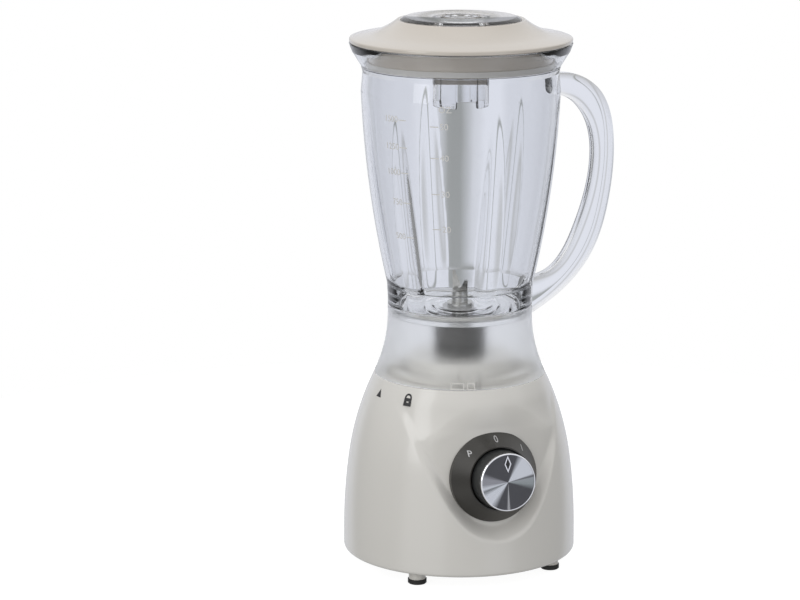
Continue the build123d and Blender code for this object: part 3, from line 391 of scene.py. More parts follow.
# dark, middle and light tones of the painted reflection on the dial's turned face
paintedFanDark, paintedFanMid, paintedFanLight = (0.075, 0.075, 0.08), (0.20, 0.21, 0.215), (0.72, 0.74, 0.77)
spunSet = {
    # painted reflections: light and dark fan-shaped sectors round the face, 0 at the left, 0.25 below, 0.5
    # at the right, 0.75 above
    "paintedFans": [
        (0.000, (0.30, 0.30, 0.32)), (0.030, paintedFanLight), (0.045, paintedFanMid), (0.075, paintedFanLight), (0.13, paintedFanLight),
        (0.175, paintedFanDark), (0.235, paintedFanDark), (0.25, (0.50, 0.50, 0.50)), (0.262, paintedFanDark), (0.44, paintedFanDark),
        (0.475, (0.32, 0.35, 0.35)), (0.515, (0.36, 0.38, 0.39)), (0.525, paintedFanDark), (0.54, paintedFanLight),
        (0.65, paintedFanLight), (0.69, paintedFanDark), (0.93, paintedFanDark), (0.965, (0.33, 0.33, 0.35)),
    ],
    "gleam": (0.75, 0.76, 0.78),
    "rings": 9000.0,        # radians of the ring pattern for each metre
    "roughness": 0.24,
}


def makeSpun(c):
    # a turned face: fine rings, and painted reflections, fan-shaped sectors of light and shade painted into
    # its colour from its centre
    f = Finish("spunMetal", metallic=1.0)
    dot = {"operation": "DOT_PRODUCT"}
    centre = f.place.node("VectorMath", {"operation": "SUBTRACT"}, {0: f.place, 1: tuple(dialFoot)})
    right = f.place.node("VectorMath", dot, {0: centre, 1: tuple(dialSide)}, 1)
    up = f.place.node("VectorMath", dot, {0: centre, 1: tuple(dialUp)}, 1)
    turn = up.maths("ARCTAN2", up, right) / (2 * math.pi) + 0.5
    # painted reflection: the colour turns light and dark with the angle round the dial's centre
    shade = turn.node("ValToRGB", {"stops": c["paintedFans"]}, {0: turn})
    radius = up.maths("SQRT", up * up + right * right)
    ring = (radius * c["rings"]).sine() * 0.5 + 0.5
    wear = f.place.noise(scale=90.0, detail=3.0)
    # the painted reflection, lightened a little along the rings and by wear
    f.put("colour", (ring * 0.05 + wear * 0.03).mixed(shade, c["gleam"]))
    f.put("roughness", ring * 0.08 + c["roughness"])
    f.bump(ring, depth=0.01 * mm, strength=0.4)
    return f.material


def makeRubber(name, low, high):
    f = Finish(name, specular=0.35)
    cloud = f.place.noise(scale=160.0, detail=3.0)
    f.put("colour", cloud.mixed(low, high))
    f.put("roughness", cloud * 0.12 + 0.55)
    f.bump(cloud, depth=0.03 * mm, strength=0.4)
    return f.material


finishes = {
    "cream_plastic": makeCream("creamPlastic", (0.655, 0.64, 0.60), (0.685, 0.67, 0.63), 0.20),
    "plate_plastic": makeCream("platePlastic", (0.60, 0.585, 0.545), (0.64, 0.62, 0.575), 0.32),
    "lid_plastic": makeCream("lidPlastic", (0.56, 0.515, 0.455), (0.595, 0.55, 0.49), 0.14),
    "clear_plastic": makeClear(),
    "frosted_plastic": makeFrosted(),
    "bezel_plastic": makeSatin("bezelPlastic", (0.034, 0.032, 0.028), (0.045, 0.042, 0.037), 0.30, 0.3,
                               coat=0.2),
    "knob_plastic": makeSatin("knobPlastic", (0.04, 0.043, 0.043), (0.055, 0.058, 0.058), 0.28, 0.5),
    "spun_metal": makeSpun(spunSet),
    "bright_trim": makeBrushed("brightTrim", (0.80, 0.80, 0.82), (0.90, 0.90, 0.91), 0.05, (1, 1, 1)),
    "pointer_dark": makeSatin("pointerDark", (0.012, 0.012, 0.013), (0.022, 0.022, 0.023), 0.35),
    "black_rubber": makeRubber("blackRubber", (0.014, 0.014, 0.014), (0.028, 0.028, 0.027)),
    "seal_rubber": makeRubber("sealRubber", (0.62, 0.61, 0.58), (0.70, 0.69, 0.66)),
    "coupling_plastic": makeSatin("couplingPlastic", (0.028, 0.027, 0.026), (0.045, 0.043, 0.04), 0.42),
    "blade_steel": makeBrushed("bladeSteel", (0.52, 0.52, 0.50), (0.66, 0.66, 0.64), 0.14),
    "plain_steel": makeBrushed("plainSteel", (0.42, 0.42, 0.42), (0.55, 0.55, 0.55), 0.26),
    "core_steel": makeLayered("coreSteel", (0.16, 0.16, 0.17), (0.30, 0.30, 0.31), 1.0 * mm, 0.35, 0.9),
    "copper": makeLayered("copper", (0.42, 0.16, 0.07), (0.72, 0.33, 0.17), 0.9 * mm, 0.28, 0.85),
    "carbon": makeRubber("carbon", (0.03, 0.03, 0.032), (0.055, 0.055, 0.058)),
    "bronze": makeBrushed("bronze", (0.45, 0.30, 0.13), (0.60, 0.42, 0.20), 0.30),
    "switch_plastic": makeSatin("switchPlastic", (0.03, 0.03, 0.032), (0.05, 0.05, 0.053), 0.40),
}

print("finishes made", len(finishes))


# ---- mesh helpers ----
weldGap = 0.002 * mm


def newPiece(name, verts, faces, slot, body, sharp=38):
    mesh = bpy.data.meshes.new(name)
    mesh.from_pydata([tuple(v) for v in verts], [], [tuple(f) for f in faces])
    build = bmesh.new()
    build.from_mesh(mesh)
    bmesh.ops.remove_doubles(build, verts=build.verts, dist=weldGap)
    bmesh.ops.recalc_face_normals(build, faces=build.faces)
    build.to_mesh(mesh)
    build.free()
    piece = bpy.data.objects.new(name, mesh)
    scene.collection.objects.link(piece)
    dress(piece, slot, body, sharp)
    return piece


def dress(piece, slot, body, sharp=38):
    mesh = piece.data
    mesh.materials.clear()
    mesh.materials.append(finishes[slot])
    mesh.polygons.foreach_set("use_smooth", [True] * len(mesh.polygons))
    mesh.set_sharp_from_angle(angle=math.radians(sharp))
    if body:
        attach(piece, body)


def gridFaces(rows, columns, closeRows, closeColumns):
    faces = []
    for i in range(rows if closeRows else rows - 1):
        for j in range(columns if closeColumns else columns - 1):
            a, b = i * columns + j, i * columns + (j + 1) % columns
            c, d = (i + 1) % rows * columns + j, (i + 1) % rows * columns + (j + 1) % columns
            faces.append((a, b, d, c))
    return faces


def lathe(name, profile, slot, body, columns=180, sharp=38, shape=None):
    # a closed outline of (radius, z), turned about Z; shape may change each row's radii
    angles = np.arange(columns) * (2 * math.pi / columns)
    rows = []
    for k, (radius, z) in enumerate(profile):
        radii = np.full(columns, radius) if shape is None else shape(k, radius, z, angles)
        rows.append(np.stack([radii * np.cos(angles), radii * np.sin(angles), np.full(columns, z)], 1))
    verts = np.concatenate(rows)
    return newPiece(name, verts, gridFaces(len(rows), columns, True, True), slot, body, sharp)


def rounded(corners, steps=4, closed=True):
    # corners are (x, z, radius); each becomes an arc that touches both its sides
    points = []
    count = len(corners)
    for i, (x, z, radius) in enumerate(corners):
        if not closed and i in (0, count - 1) or radius <= 0:
            points.append((x, z))
            continue
        here = Vector((x, z))
        back = Vector(corners[i - 1][:2]) - here
        ahead = Vector(corners[(i + 1) % count][:2]) - here
        half = back.angle(ahead) / 2
        reach = min(radius / math.tan(half), 0.48 * back.length, 0.48 * ahead.length)
        radius = reach * math.tan(half)
        centre = here + (back.normalized() + ahead.normalized()).normalized() * (radius / math.sin(half))
        start = here + back.normalized() * reach - centre
        end = here + ahead.normalized() * reach - centre
        sweep = start.angle_signed(end)
        for k in range(steps + 1):
            turn = -sweep * k / steps
            c, s = math.cos(turn), math.sin(turn)
            points.append((centre.x + start.x * c - start.y * s, centre.y + start.x * s + start.y * c))
    return points


def tangentArc(start, end, direction, steps):
    # points after start on the arc that leaves start along direction, and its direction at end
    chord = Vector(end) - Vector(start)
    heading = Vector(direction).normalized()
    normal = Vector((-heading.y, heading.x))
    height = chord.dot(normal)
    if abs(height) < 1e-9:
        points = [tuple(Vector(start) + chord * k / steps) for k in range(1, steps + 1)]
        return points, heading
    radius = chord.length_squared / (2 * height)
    centre = Vector(start) + normal * radius
    sweep = 2 * math.asin(max(-1, min(1, height / chord.length)))
    points = []
    for k in range(1, steps + 1):
        c, s = math.cos(sweep * k / steps), math.sin(sweep * k / steps)
        arm = Vector(start) - centre
        points.append((centre.x + arm.x * c - arm.y * s, centre.y + arm.x * s + arm.y * c))
    c, s = math.cos(sweep), math.sin(sweep)
    return points, Vector((heading.x * c - heading.y * s, heading.x * s + heading.y * c))


def smoothCurve(points, count):
    # evenly spaced points of a natural cubic spline through the given ones
    samples = 2000
    p = np.array(points, float)
    t = np.concatenate([[0], np.cumsum(np.linalg.norm(np.diff(p, axis=0), axis=1))])
    n = len(p)
    a = np.zeros((n, n))
    b = np.zeros((n, 2))
    a[0, 0] = a[-1, -1] = 1
    for i in range(1, n - 1):
        h0, h1 = t[i] - t[i - 1], t[i + 1] - t[i]
        a[i, i - 1:i + 2] = h0, 2 * (h0 + h1), h1
        b[i] = 6 * ((p[i + 1] - p[i]) / h1 - (p[i] - p[i - 1]) / h0)
    m = np.linalg.solve(a, b)
    s = np.linspace(0, t[-1], samples)
    i = np.clip(np.searchsorted(t, s) - 1, 0, n - 2)
    h = (t[i + 1] - t[i])[:, None]
    u, v = (t[i + 1] - s)[:, None], (s - t[i])[:, None]
    bend = (m[i] * u ** 3 + m[i + 1] * v ** 3) / (6 * h)
    fine = bend + (p[i] / h - m[i] * h / 6) * u + (p[i + 1] / h - m[i + 1] * h / 6) * v
    run = np.concatenate([[0], np.cumsum(np.linalg.norm(np.diff(fine, axis=0), axis=1))])
    wanted = np.linspace(0, run[-1], count)
    return np.stack([np.interp(wanted, run, fine[:, k]) for k in (0, 1)], 1)


def softMin(a, b, width):
    # the lesser of two values, blended where they are within width of each other
    share = np.clip(0.5 + 0.5 * (b - a) / width, 0, 1)
    return b * (1 - share) + a * share - width * share * (1 - share)


def combine(piece, other, operation):
    # joins or cuts with another mesh, which is then gone
    tool = piece.modifiers.new("combine", "BOOLEAN")
    tool.operation = operation
    tool.solver = "EXACT"
    tool.object = other
    bpy.context.view_layer.update()
    done = bpy.data.meshes.new_from_object(piece.evaluated_get(bpy.context.evaluated_depsgraph_get()))
    piece.modifiers.clear()
    old = piece.data
    piece.data = done
    bpy.data.meshes.remove(old)
    bpy.data.objects.remove(other)


# ---- base housing ----
housingSet = {
    "bulgeZ": 22.0 * mm,
    "corner": 5.5 * mm,
    "shoulderIn": 3.8 * mm,
    "shoulderZ": 79.0 * mm,
    "deckR": 62.7 * mm,
    "towerR": 40.0 * mm,
    "towerTopR": 37.5 * mm,
    "wall": 2.8 * mm,
    "lipR": 80.0 * mm,
    "holeR": 7.0 * mm,
    "recessDepth": 15.2 * mm,
    "recessTilt": 4.0,
    # right half of the recess's outline, across and up
    "recessEdge": [(0, 35.4), (8, 36.4), (16, 39.0), (24.5, 44.6), (32, 53.4), (39.0, 64.5), (46.5, 79.6),
                   (52.4, 95), (57, 110), (60, 122), (62, 136)],
    "slope": ((38, 9.0), (60, 4.4), (110, 4.0)),     # height, width of the sloping edge
    "blend": ((60, 1.6), (108, 2.2), (128, 9)),      # height, width of the blend into the skin
    "fade": (114, 136),                              # the recess dies away between these heights
    "ease": 0.22,
    "flatW": 38.0 * mm,
    "flatFall": 5.5 * mm,
    "wrapW": 62.0 * mm,
    "wrapFall": 36.0 * mm,
    "planSteps": 30,
    "settle": 12,           # rounds in which the recess's floor finds its radius
    "sideLimit": 0.2,
    "lipH": 2.6 * mm,
    "columns": 540,
}


def circleThrough(a, b, c):
    ax, ay, bx, by, cx, cy = *a, *b, *c
    d = 2 * (ax * (by - cy) + bx * (cy - ay) + cx * (ay - by))
    aa, bb, cc = ax * ax + ay * ay, bx * bx + by * by, cx * cx + cy * cy
    ux = (aa * (by - cy) + bb * (cy - ay) + cc * (ay - by)) / d
    uy = (aa * (cx - bx) + bb * (ax - cx) + cc * (bx - ax)) / d
    return Vector((ux, uy)), math.hypot(ax - ux, ay - uy)


def arcBetween(a, b, c, steps):
    # from a through b to c
    centre, radius = circleThrough(a, b, c)
    start, middle, end = (math.atan2(p[1] - centre.y, p[0] - centre.x) for p in (a, b, c))
    while middle < start:
        middle += 2 * math.pi
    while end < start:
        end += 2 * math.pi
    if middle > end:
        end -= 2 * math.pi
    angles = [start + (end - start) * k / steps for k in range(steps + 1)]
    return [(centre.x + radius * math.cos(t), centre.y + radius * math.sin(t)) for t in angles]


def recessOutline(c):
    # the right half of the recess's edge, from its foot up
    half, steps = c["recessEdge"], 700
    whole = [(-x * mm, z * mm) for x, z in reversed(half[1:])] + [(x * mm, z * mm) for x, z in half]
    return smoothCurve(whole, 2 * steps + 1)[steps:]


def recessRadius(c, edge, angles, radii, z):
    # radial distance of the housing's skin with the recess pressed in
    x = radii * np.cos(angles)
    y = radii * np.sin(angles)
    out = radii.copy()
    front = (y < 0) & (np.abs(x) < edge[-1, 0])
    if not front.any() or z < edge[0, 1] or z > edge[-1, 1]:
        return out
    fx = np.abs(x[front])
    gap = np.sqrt(((fx[:, None] - edge[None, :, 0]) ** 2 + (z - edge[None, :, 1]) ** 2)).min(1)
    inward = np.where(fx < np.interp(z, edge[:, 1], edge[:, 0]), gap, -gap)
    flatRing, flatR = circleThrough((-c["flatW"], c["flatFall"]), (0, 0), (c["flatW"], c["flatFall"]))
    heading = Vector((flatRing.y - c["flatFall"], c["flatW"] - flatRing.x)).normalized()
    steps = c["planSteps"]
    wrap = tangentArc((c["flatW"], c["flatFall"]), (c["wrapW"], c["wrapFall"]), heading, steps)[0]
    flat = [(t, flatRing.y - math.sqrt(flatR ** 2 - t ** 2)) for t in np.linspace(0, c["flatW"], steps)]
    plan = np.array(flat + wrap + [(c["wrapW"] + 1 * mm, c["wrapFall"] + 30 * mm)])
    level = -baseR + c["recessDepth"] + math.tan(math.radians(c["recessTilt"])) * (z - dialFoot.z)
    guess = radii[front].copy()
    slant = np.maximum(np.abs(np.sin(angles[front])), c["sideLimit"])
    for _ in range(c["settle"]):
        here = np.abs(guess * np.cos(angles[front]))
        wanted = -(level + np.interp(here, plan[:, 0], plan[:, 1]))
        guess = 0.5 * guess + 0.5 * np.clip(wanted / slant, 0, radii[front])
    blend = np.interp(z / mm, *zip(*c["blend"])) * mm
    pressed = softMin(radii[front], guess, blend)
    t = inward / (np.interp(z / mm, *zip(*c["slope"])) * mm)
    t = -softMin(-softMin(t, 1, c["ease"]), 0, c["ease"])
    rise = np.clip((z / mm - c["fade"][0]) / (c["fade"][1] - c["fade"][0]), 0, 1)
    t = t * (1 - rise * rise * (3 - 2 * rise))
    out[front] = radii[front] * (1 - t) + pressed * t
    return out


def makeHousing(c):
    low = baseLow.z
    foot = rounded([(c["lipR"], low, 0), (baseR, low, c["corner"]), (baseR, c["bulgeZ"], 0)], 8, False)
    side, heading = tangentArc((baseR, c["bulgeZ"]), (baseR - c["shoulderIn"], c["shoulderZ"]), (0, 1), 46)
    upper = tangentArc(side[-1], (c["deckR"], deckZ), heading, 54)[0]
    rise = [(baseR, low + c["corner"] + (c["bulgeZ"] - low - c["corner"]) * k / 6) for k in range(1, 6)]
    deck = rounded(
        [upper[-2] + (0,), (c["deckR"], deckZ, 0.5 * mm), (c["towerR"], deckZ, 1.0 * mm),
         (c["towerTopR"], baseHigh.z, 1.2 * mm), (c["holeR"], baseHigh.z, 0)], 5, False)
    outer = foot[:-1] + rise + [(baseR, c["bulgeZ"])] + side + upper[:-1] + deck[1:]
    wall = c["wall"]
    under = [(c["holeR"], baseHigh.z - wall), (c["towerTopR"] - wall, baseHigh.z - wall),
             (c["towerR"] - wall, deckZ - wall)]
    inner = [(r - wall, z) for r, z in reversed(side + upper) if z < deckZ - wall - 1 * mm]
    skin = len(foot) + len(rise) + len(side) + len(upper) - 1
    profile = outer + under + [(inner[0][0], deckZ - wall)] + inner + [(c["lipR"], low + c["lipH"])]
    top = deckZ - wall
    edge = recessOutline(c)

    def shape(k, radius, z, angles):
        radii = np.full(len(angles), radius)
        if k < skin and radius > c["deckR"] - 1 * mm:
            return recessRadius(c, edge, angles, radii, z)
        if k >= len(outer) + 3 and z < top and k < len(profile) - 1:
            return recessRadius(c, edge, angles, radii + wall, z) - wall
        return radii

    piece = lathe("housingShell", profile, "cream_plastic", "base", c["columns"], 50, shape)
    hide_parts("base_housing")
    return np.array(side + upper)


housingLine = makeHousing(housingSet)
print("housing made")

# ---- jug ----
jarSet = {
    "wall": 2.6 * mm,
    "hubR": 6.25 * mm,
    "spigotR": 50.2 * mm,
    "bandR": 52.9 * mm,
    "footR": 53.5 * mm,
    "footUp": 15.8 * mm,
    "bellyR": 66.2 * mm,
    "neckR": 72.3 * mm,
    "neckDown": 35.2 * mm,
    "grooveIn": 1.2 * mm,
    "collarDown": 16.7 * mm,
    "mouthR": 80.9 * mm,
    "floorH": 3.0 * mm,
    "floorRings": (19.0, 28.0, 37.0),
    "ringUp": 0.35,
    "ribs": 6,
    "ribTop": (78.4 * mm, 330.0 * mm, 8.0 * mm),     # axis radius, height, radius
    "ribFoot": (62.6 * mm, 205.0 * mm, 14.0 * mm),
    "ribSoft": 4.4 * mm,
    "ribAbove": 0.3,        # how far past its top a rib still tapers, as a share of its length
    "ribRunout": 1.6,       # how fast it leaves the side below its foot
    "ribReach": 5 * mm,
    "columns": 432,
}


def jarOuterRadius(c, z):
    # radius of the jug's outer side at a height
    footZ, neckZ = skirtZ + c["footUp"], rimZ - c["neckDown"]
    belly = (c["bellyR"], (footZ + neckZ) / 2)
    centre, radius = circleThrough((c["footR"], footZ), belly, (c["neckR"], neckZ))
    toward = 1 if centre.x < c["bellyR"] else -1
    return centre.x + toward * math.sqrt(max(radius ** 2 - (z - centre.y) ** 2, 0))


def makeJar(c):
    footZ, neckZ = skirtZ + c["footUp"], rimZ - c["neckDown"]
    collarZ = rimZ - c["collarDown"]
    groove = c["neckR"] - c["grooveIn"]
    wall = c["wall"]
    side = [(jarOuterRadius(c, z), z) for z in np.linspace(footZ, neckZ, 60)]
    lower = rounded(
        [(c["hubR"], floorZ - c["floorH"], 0), (c["spigotR"], floorZ - c["floorH"], 0.8 * mm),
         (c["spigotR"], skirtZ, 0), (c["bandR"], skirtZ, 0.5 * mm), (c["bandR"], skirtZ + 5.2 * mm, 0),
         side[0] + (0.8 * mm,), side[1] + (0,)], 4, False)
    upper = rounded(
        [side[-2] + (0,), side[-1] + (3 * mm,), (groove, collarZ - 4.5 * mm, 1.5 * mm),
         (c["neckR"], collarZ, 0.8 * mm), (c["mouthR"] - 2.1 * mm, rimZ - 6.2 * mm, 4 * mm),
         (c["mouthR"], rimZ - 0.4 * mm, 0.5 * mm), (c["mouthR"] - 1.2 * mm, rimZ, 0.5 * mm),
         (c["mouthR"] - wall, rimZ - 0.2 * mm, 0.6 * mm),
         (c["neckR"] - wall + 0.4 * mm, collarZ + 2 * mm, 1 * mm),
         (c["neckR"] - wall + 0.4 * mm, collarZ - 0.6 * mm, 0.3 * mm),
         (groove - wall, collarZ - 0.6 * mm, 0.5 * mm), (groove - wall, collarZ - 4.5 * mm, 1 * mm),
         (c["neckR"] - wall, neckZ, 3 * mm), (side[-2][0] - wall, side[-2][1], 0)], 4, False)
    inner = [(r - wall, z) for r, z in reversed(side[2:-2])]
    footIn, spigotIn = c["footR"] - wall, c["spigotR"] - wall
    floor = [(footIn - 0.2 * mm, footZ, 0), (footIn - 1.3 * mm, footZ - 1.2 * mm, 0.6 * mm),
             (spigotIn, floorZ + 5 * mm, 2 * mm), (spigotIn - 5 * mm, floorZ, 3 * mm)]
    for ring in reversed(c["floorRings"]):
        for away, up in ((2.6, 0), (0.9, c["ringUp"]), (-0.9, c["ringUp"]), (-2.6, 0)):
            floor.append(((ring + away) * mm, floorZ + up * mm, 1.5 * mm if up else 2 * mm))
    floor.append((c["hubR"], floorZ, 0))
    floor = rounded(floor, 3, False)
    profile = lower[:-1] + side[2:-2] + upper[1:-1] + inner + floor
    # the ribs press into the inner rows only, which start six points before the end of upper
    firstInner = len(lower) - 1 + len(side[2:-2]) + len(upper) - 2 - 6
    (topR, topZ, topRib), (footRibR, footRibZ, footRib) = c["ribTop"], c["ribFoot"]

    def shape(k, radius, z, angles):
        radii = np.full(len(angles), radius)
        if k < firstInner or z < floorZ + 1.2 * mm:
            return radii
        share = (topZ - z) / (topZ - footRibZ)
        if share < -c["ribAbove"]:
            return radii
        axis = topR + (footRibR - topR) * share
        ribR = topRib + (footRib - topRib) * share
        pitch = 2 * math.pi / c["ribs"]
        off = np.mod(angles + math.pi / 2 + pitch / 2, pitch) - pitch / 2
        under = ribR ** 2 - (axis * np.sin(off)) ** 2
        rib = np.where(under > 0, axis * np.cos(off) - np.sqrt(np.maximum(under, 0)), 1.0)
        if z < footRibZ:
            rib = rib + (footRibZ - z) * c["ribRunout"]
        return softMin(radii, np.minimum(rib, radii + c["ribReach"]), c["ribSoft"])

    return lathe("jarBody", profile, "clear_plastic", None, c["columns"], 40, shape)


handleSet = {
    "reach": 119.6 * mm,
    "topDown": 25.7 * mm,
    "lowDown": 12.3 * mm,
    "width": 15.5 * mm,
    "corner": 5.4 * mm,
    "stations": 90,
    # for the outer and the inner line: each root in from the jug's side and down from the top
    # or up from the foot, then points in from the reach and down from the top or up from the foot
    "outer": {"root": (1.6, 0.0), "high": ((31.6, 1.6), (11.6, 14.0), (0.0, 50.5)),
              "low": ((3.1, 84.5), (16.6, 43.5), (42.6, 14.5)), "foot": (0.5, -1.0)},
    "inner": {"root": (1.6, 15.0), "high": ((36.6, 19.1), (21.1, 36.5), (16.8, 70.5)),
              "low": ((29.1, 63.0), (50.6, 32.3)), "foot": (1.2, 27.0)},
}


def handleLine(c, j, line):
    top, low, reach = rimZ - c["topDown"], skirtZ - c["lowDown"], c["reach"]
    (rootIn, rootDown), (footIn, footUp) = line["root"], line["foot"]
    points = [(j["neckR"] - rootIn * mm, top - rootDown * mm)]
    points += [(reach - away * mm, top - down * mm) for away, down in line["high"]]
    points += [(reach - away * mm, low + up * mm) for away, up in line["low"]]
    points.append((j["bandR"] - footIn * mm, low + footUp * mm))
    return smoothCurve(points, c["stations"])


def makeHandle(c, j):
    a, b = handleLine(c, j, c["outer"]), handleLine(c, j, c["inner"])
    verts = []
    for (ox, oz), (ix, iz) in zip(a, b):
        depth = math.hypot(ox - ix, oz - iz)
        half = c["width"] / 2
        corners = ((0, -half), (depth, -half), (depth, half), (0, half))
        section = rounded([corner + (c["corner"],) for corner in corners], 6)
        for u, y in section:
            verts.append((ix + (ox - ix) * u / depth, y, iz + (oz - iz) * u / depth))
    ring = len(section)
    faces = gridFaces(c["stations"], ring, False, True)
    faces.append(tuple(range(ring)))
    faces.append(tuple((c["stations"] - 1) * ring + k for k in range(ring)))
    return newPiece("handleBar", verts, faces, "clear_plastic", None)


def makeJug():
    jar = makeJar(jarSet)
    handle = makeHandle(handleSet, jarSet)
    # the handle is cut away where the skirt stands
    near, far, low = 30 * mm, jarSet["bandR"] + 1 * mm, 150 * mm
    outline = [(near, low), (far, low), (far, skirtZ), (near, skirtZ)]
    keepClear = lathe("keepClear", outline, "clear_plastic", None, 240)
    combine(handle, keepClear, "DIFFERENCE")
    combine(jar, handle, "UNION")
    dress(jar, "clear_plastic", "jug", 40)
    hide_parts("jar")


makeJug()
print("jug made")

# ---- lid and filler cap ----
lidSet = {
    "r": 80.6 * mm,
    "edge": (0.3 * mm, 3.5 * mm),      # underside and top, above the jug's rim
    "domeR": 68.0 * mm,
    "domeUp": 2.0 * mm,                # the dome's foot, above the edge
    "domeWay": (-1, 0.24),             # the way it leaves its foot, inwards and up
    "crownW": 2.4 * mm,
    "seatR": 43.9 * mm,
    "seatUp": 14.0 * mm,
    "rimUp": 16.2 * mm,
    "skirtR": 67.0 * mm,
    "skirtDown": 16.8 * mm,
    "wall": 2.6 * mm,
    "spoutR": 21.1 * mm,
    "spoutDown": 12.0 * mm,
}


def makeLid(c):
    lowZ, topZ = rimZ + c["edge"][0], rimZ + c["edge"][1]
    seatZ, rimTop = rimZ + c["seatUp"], rimZ + c["rimUp"]
    wall, spout = c["wall"], c["spoutR"]
    crown = (c["seatR"] + c["crownW"], rimTop)
    dome = tangentArc((c["domeR"], topZ + c["domeUp"]), crown, c["domeWay"], 16)[0]
    under = min(dome, key=lambda p: abs(p[0] - c["skirtR"] + wall))[1]
    corners = [
        (spout, seatZ, 0.4 * mm), (c["seatR"], seatZ, 0.5 * mm), (c["seatR"], rimTop - 0.2 * mm, 0.5 * mm),
        dome[-1] + (0.8 * mm,)] + [p + (0,) for p in reversed(dome[:-1])] + [
        (c["domeR"], topZ + c["domeUp"], 0), (c["r"], topZ - 0.3 * mm, 1.1 * mm), (c["r"], lowZ, 0.5 * mm),
        (c["skirtR"], lowZ, 0.6 * mm), (c["skirtR"], rimZ - c["skirtDown"], 0.6 * mm),
        (c["skirtR"] - wall, rimZ - c["skirtDown"], 0.6 * mm), (c["skirtR"] - wall, under - wall, 1.5 * mm),
        (c["seatR"] + 1.6 * mm, seatZ - wall, 1.5 * mm),
        (spout + wall, seatZ - wall, 0.6 * mm), (spout + wall, seatZ - c["spoutDown"], 0.4 * mm),
        (spout, seatZ - c["spoutDown"], 0.4 * mm)]
    piece = lathe("lidShell", rounded(corners, 4), "lid_plastic", "lid", 240, 35)
    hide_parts("lid")


makeLid(lidSet)

capSet = {
    "r": 43.5 * mm,
    "h": 4.0 * mm,
    "cupR": 20.3 * mm,
    "wall": 1.8 * mm,
    "dish": (7 * mm, 8.5 * mm),
    "dishDeep": 0.9 * mm,
    "ring": (12.5 * mm, 17.0 * mm),
    "ringDeep": 1.6 * mm,
    "notchAt": -30.0,
    "notchEach": 120,
    "notchTurn": 46.0,
    "notchUp": 5.0 * mm,
}


def makeCap(c):
    low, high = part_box("filler_cap")
    seat = high.z - c["h"]
    (dishIn, dishOut), (ringIn, ringOut) = c["dish"], c["ring"]
    dishZ, ringZ = high.z - c["dishDeep"], high.z - c["ringDeep"]
    corners = [
        (0, dishZ, 0), (dishIn, dishZ, 0.8 * mm), (dishOut, high.z, 0.6 * mm),
        (ringIn, high.z, 0.5 * mm), (ringIn, ringZ, 0.5 * mm), (ringOut, ringZ, 0.5 * mm),
        (ringOut, high.z, 0.5 * mm), (c["r"] - 3.5 * mm, high.z - 0.2 * mm, 1.5 * mm),
        (c["r"], high.z - 1.8 * mm, 0.9 * mm), (c["r"], seat, 0.5 * mm), (c["cupR"], seat, 0.7 * mm),
        (c["cupR"], low.z, 0.5 * mm), (c["cupR"] - c["wall"], low.z, 0.5 * mm),
        (c["cupR"] - c["wall"], seat, 1.2 * mm), (0, seat, 0)]
    piece = lathe("capDisc", rounded(corners, 4, False), "clear_plastic", "cap", 180, 35)
    for v in piece.data.vertices:
        turn = (math.degrees(math.atan2(v.co.x, -v.co.y)) - c["notchAt"]) % c["notchEach"]
        if v.co.z < low.z + 1 * mm and turn < c["notchTurn"] and math.hypot(v.co.x, v.co.y) > 10 * mm:
            v.co.z += c["notchUp"]
    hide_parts("filler_cap")


makeCap(capSet)
print("lid and cap made")

# ---- printed marks ----
markSet = {
    "low": 0.02 * mm,
    "high": 0.14 * mm,
    "step": 1.5 * mm,                   # longest straight run, so that bars follow a round side
    "letter": 6.4 * mm,
    "dialLetter": 6.0 * mm,
    "tick": (6.2 * mm, 0.75 * mm),
    "figureGap": 0.8 * mm,
    "millilitres": ((1500, 337.8), (1250, 318.0), (1000, 299.5), (750, 277.5), (500, 252.0)),
    "millilitreTurn": -56.0,
    "ounces": ((50, 334.8), (40, 312.2), (30, 285.9), (20, 260.0)),
    "ounceTurn": -36.0,
    "ounceName": 347.0,
    "dialMarks": (("P", -47.0), ("0", 0.0), ("1", 44.5), ("2", 90.0)),
    "dialR": 28.0 * mm,
    "dialAway": 80 * mm,                # where the rays towards the dial and the skirt start
    "skirtAway": 0.2,
    "face": 29.0 * mm,
    "pointer": ((1.7, 4.3), (2.6, 6.2)),    # half width and half height, within and without
    "skinFrom": 100 * mm,
    "triangle": (-81.0, 130.6),         # degrees from the front, height
    "triangleHalf": (3.1 * mm, 3.0 * mm),
    "triangleUp": (0.2 * mm, 5.6 * mm),
    "padlock": (-54.7, 129.6),
    "padlockBody": (3.2 * mm, 5.4 * mm, 2.2 * mm),      # half width, height, width of its lines
    "padlockBow": (1.8 * mm, 3.1 * mm),
    "window": (-18.5, 143.0),
    "windowPanes": ((-9 * mm, 0.6 * mm), (3 * mm, 8.6 * mm)),
    "windowH": 4.6 * mm,
    "windowLine": 0.6 * mm,
}


def strip(low, high, closed=False):
    # a thin prism between two lines of as many points; its third coordinate is 0 below and 1 above
    n = len(low)
    verts = [(*p, up) for up in (0, 1) for line in (low, high) for p in line]
    faces = []
    for k in range(n if closed else n - 1):
        m = (k + 1) % n
        faces += [(2 * n + k, 2 * n + m, 3 * n + m, 3 * n + k), (k, n + k, n + m, m),
                  (k, m, 2 * n + m, 2 * n + k), (n + k, 3 * n + k, 3 * n + m, n + m)]
    if not closed:
        faces += [(0, 2 * n, 3 * n, n), (n - 1, 2 * n - 1, 4 * n - 1, 3 * n - 1)]
    return verts, faces


def bar(x0, x1, y0, y1):
    count = max(2, int(abs(x1 - x0) / markSet["step"]) + 1)
    across = np.linspace(x0, x1, count)
    return strip([(x, y0) for x in across], [(x, y1) for x in across])


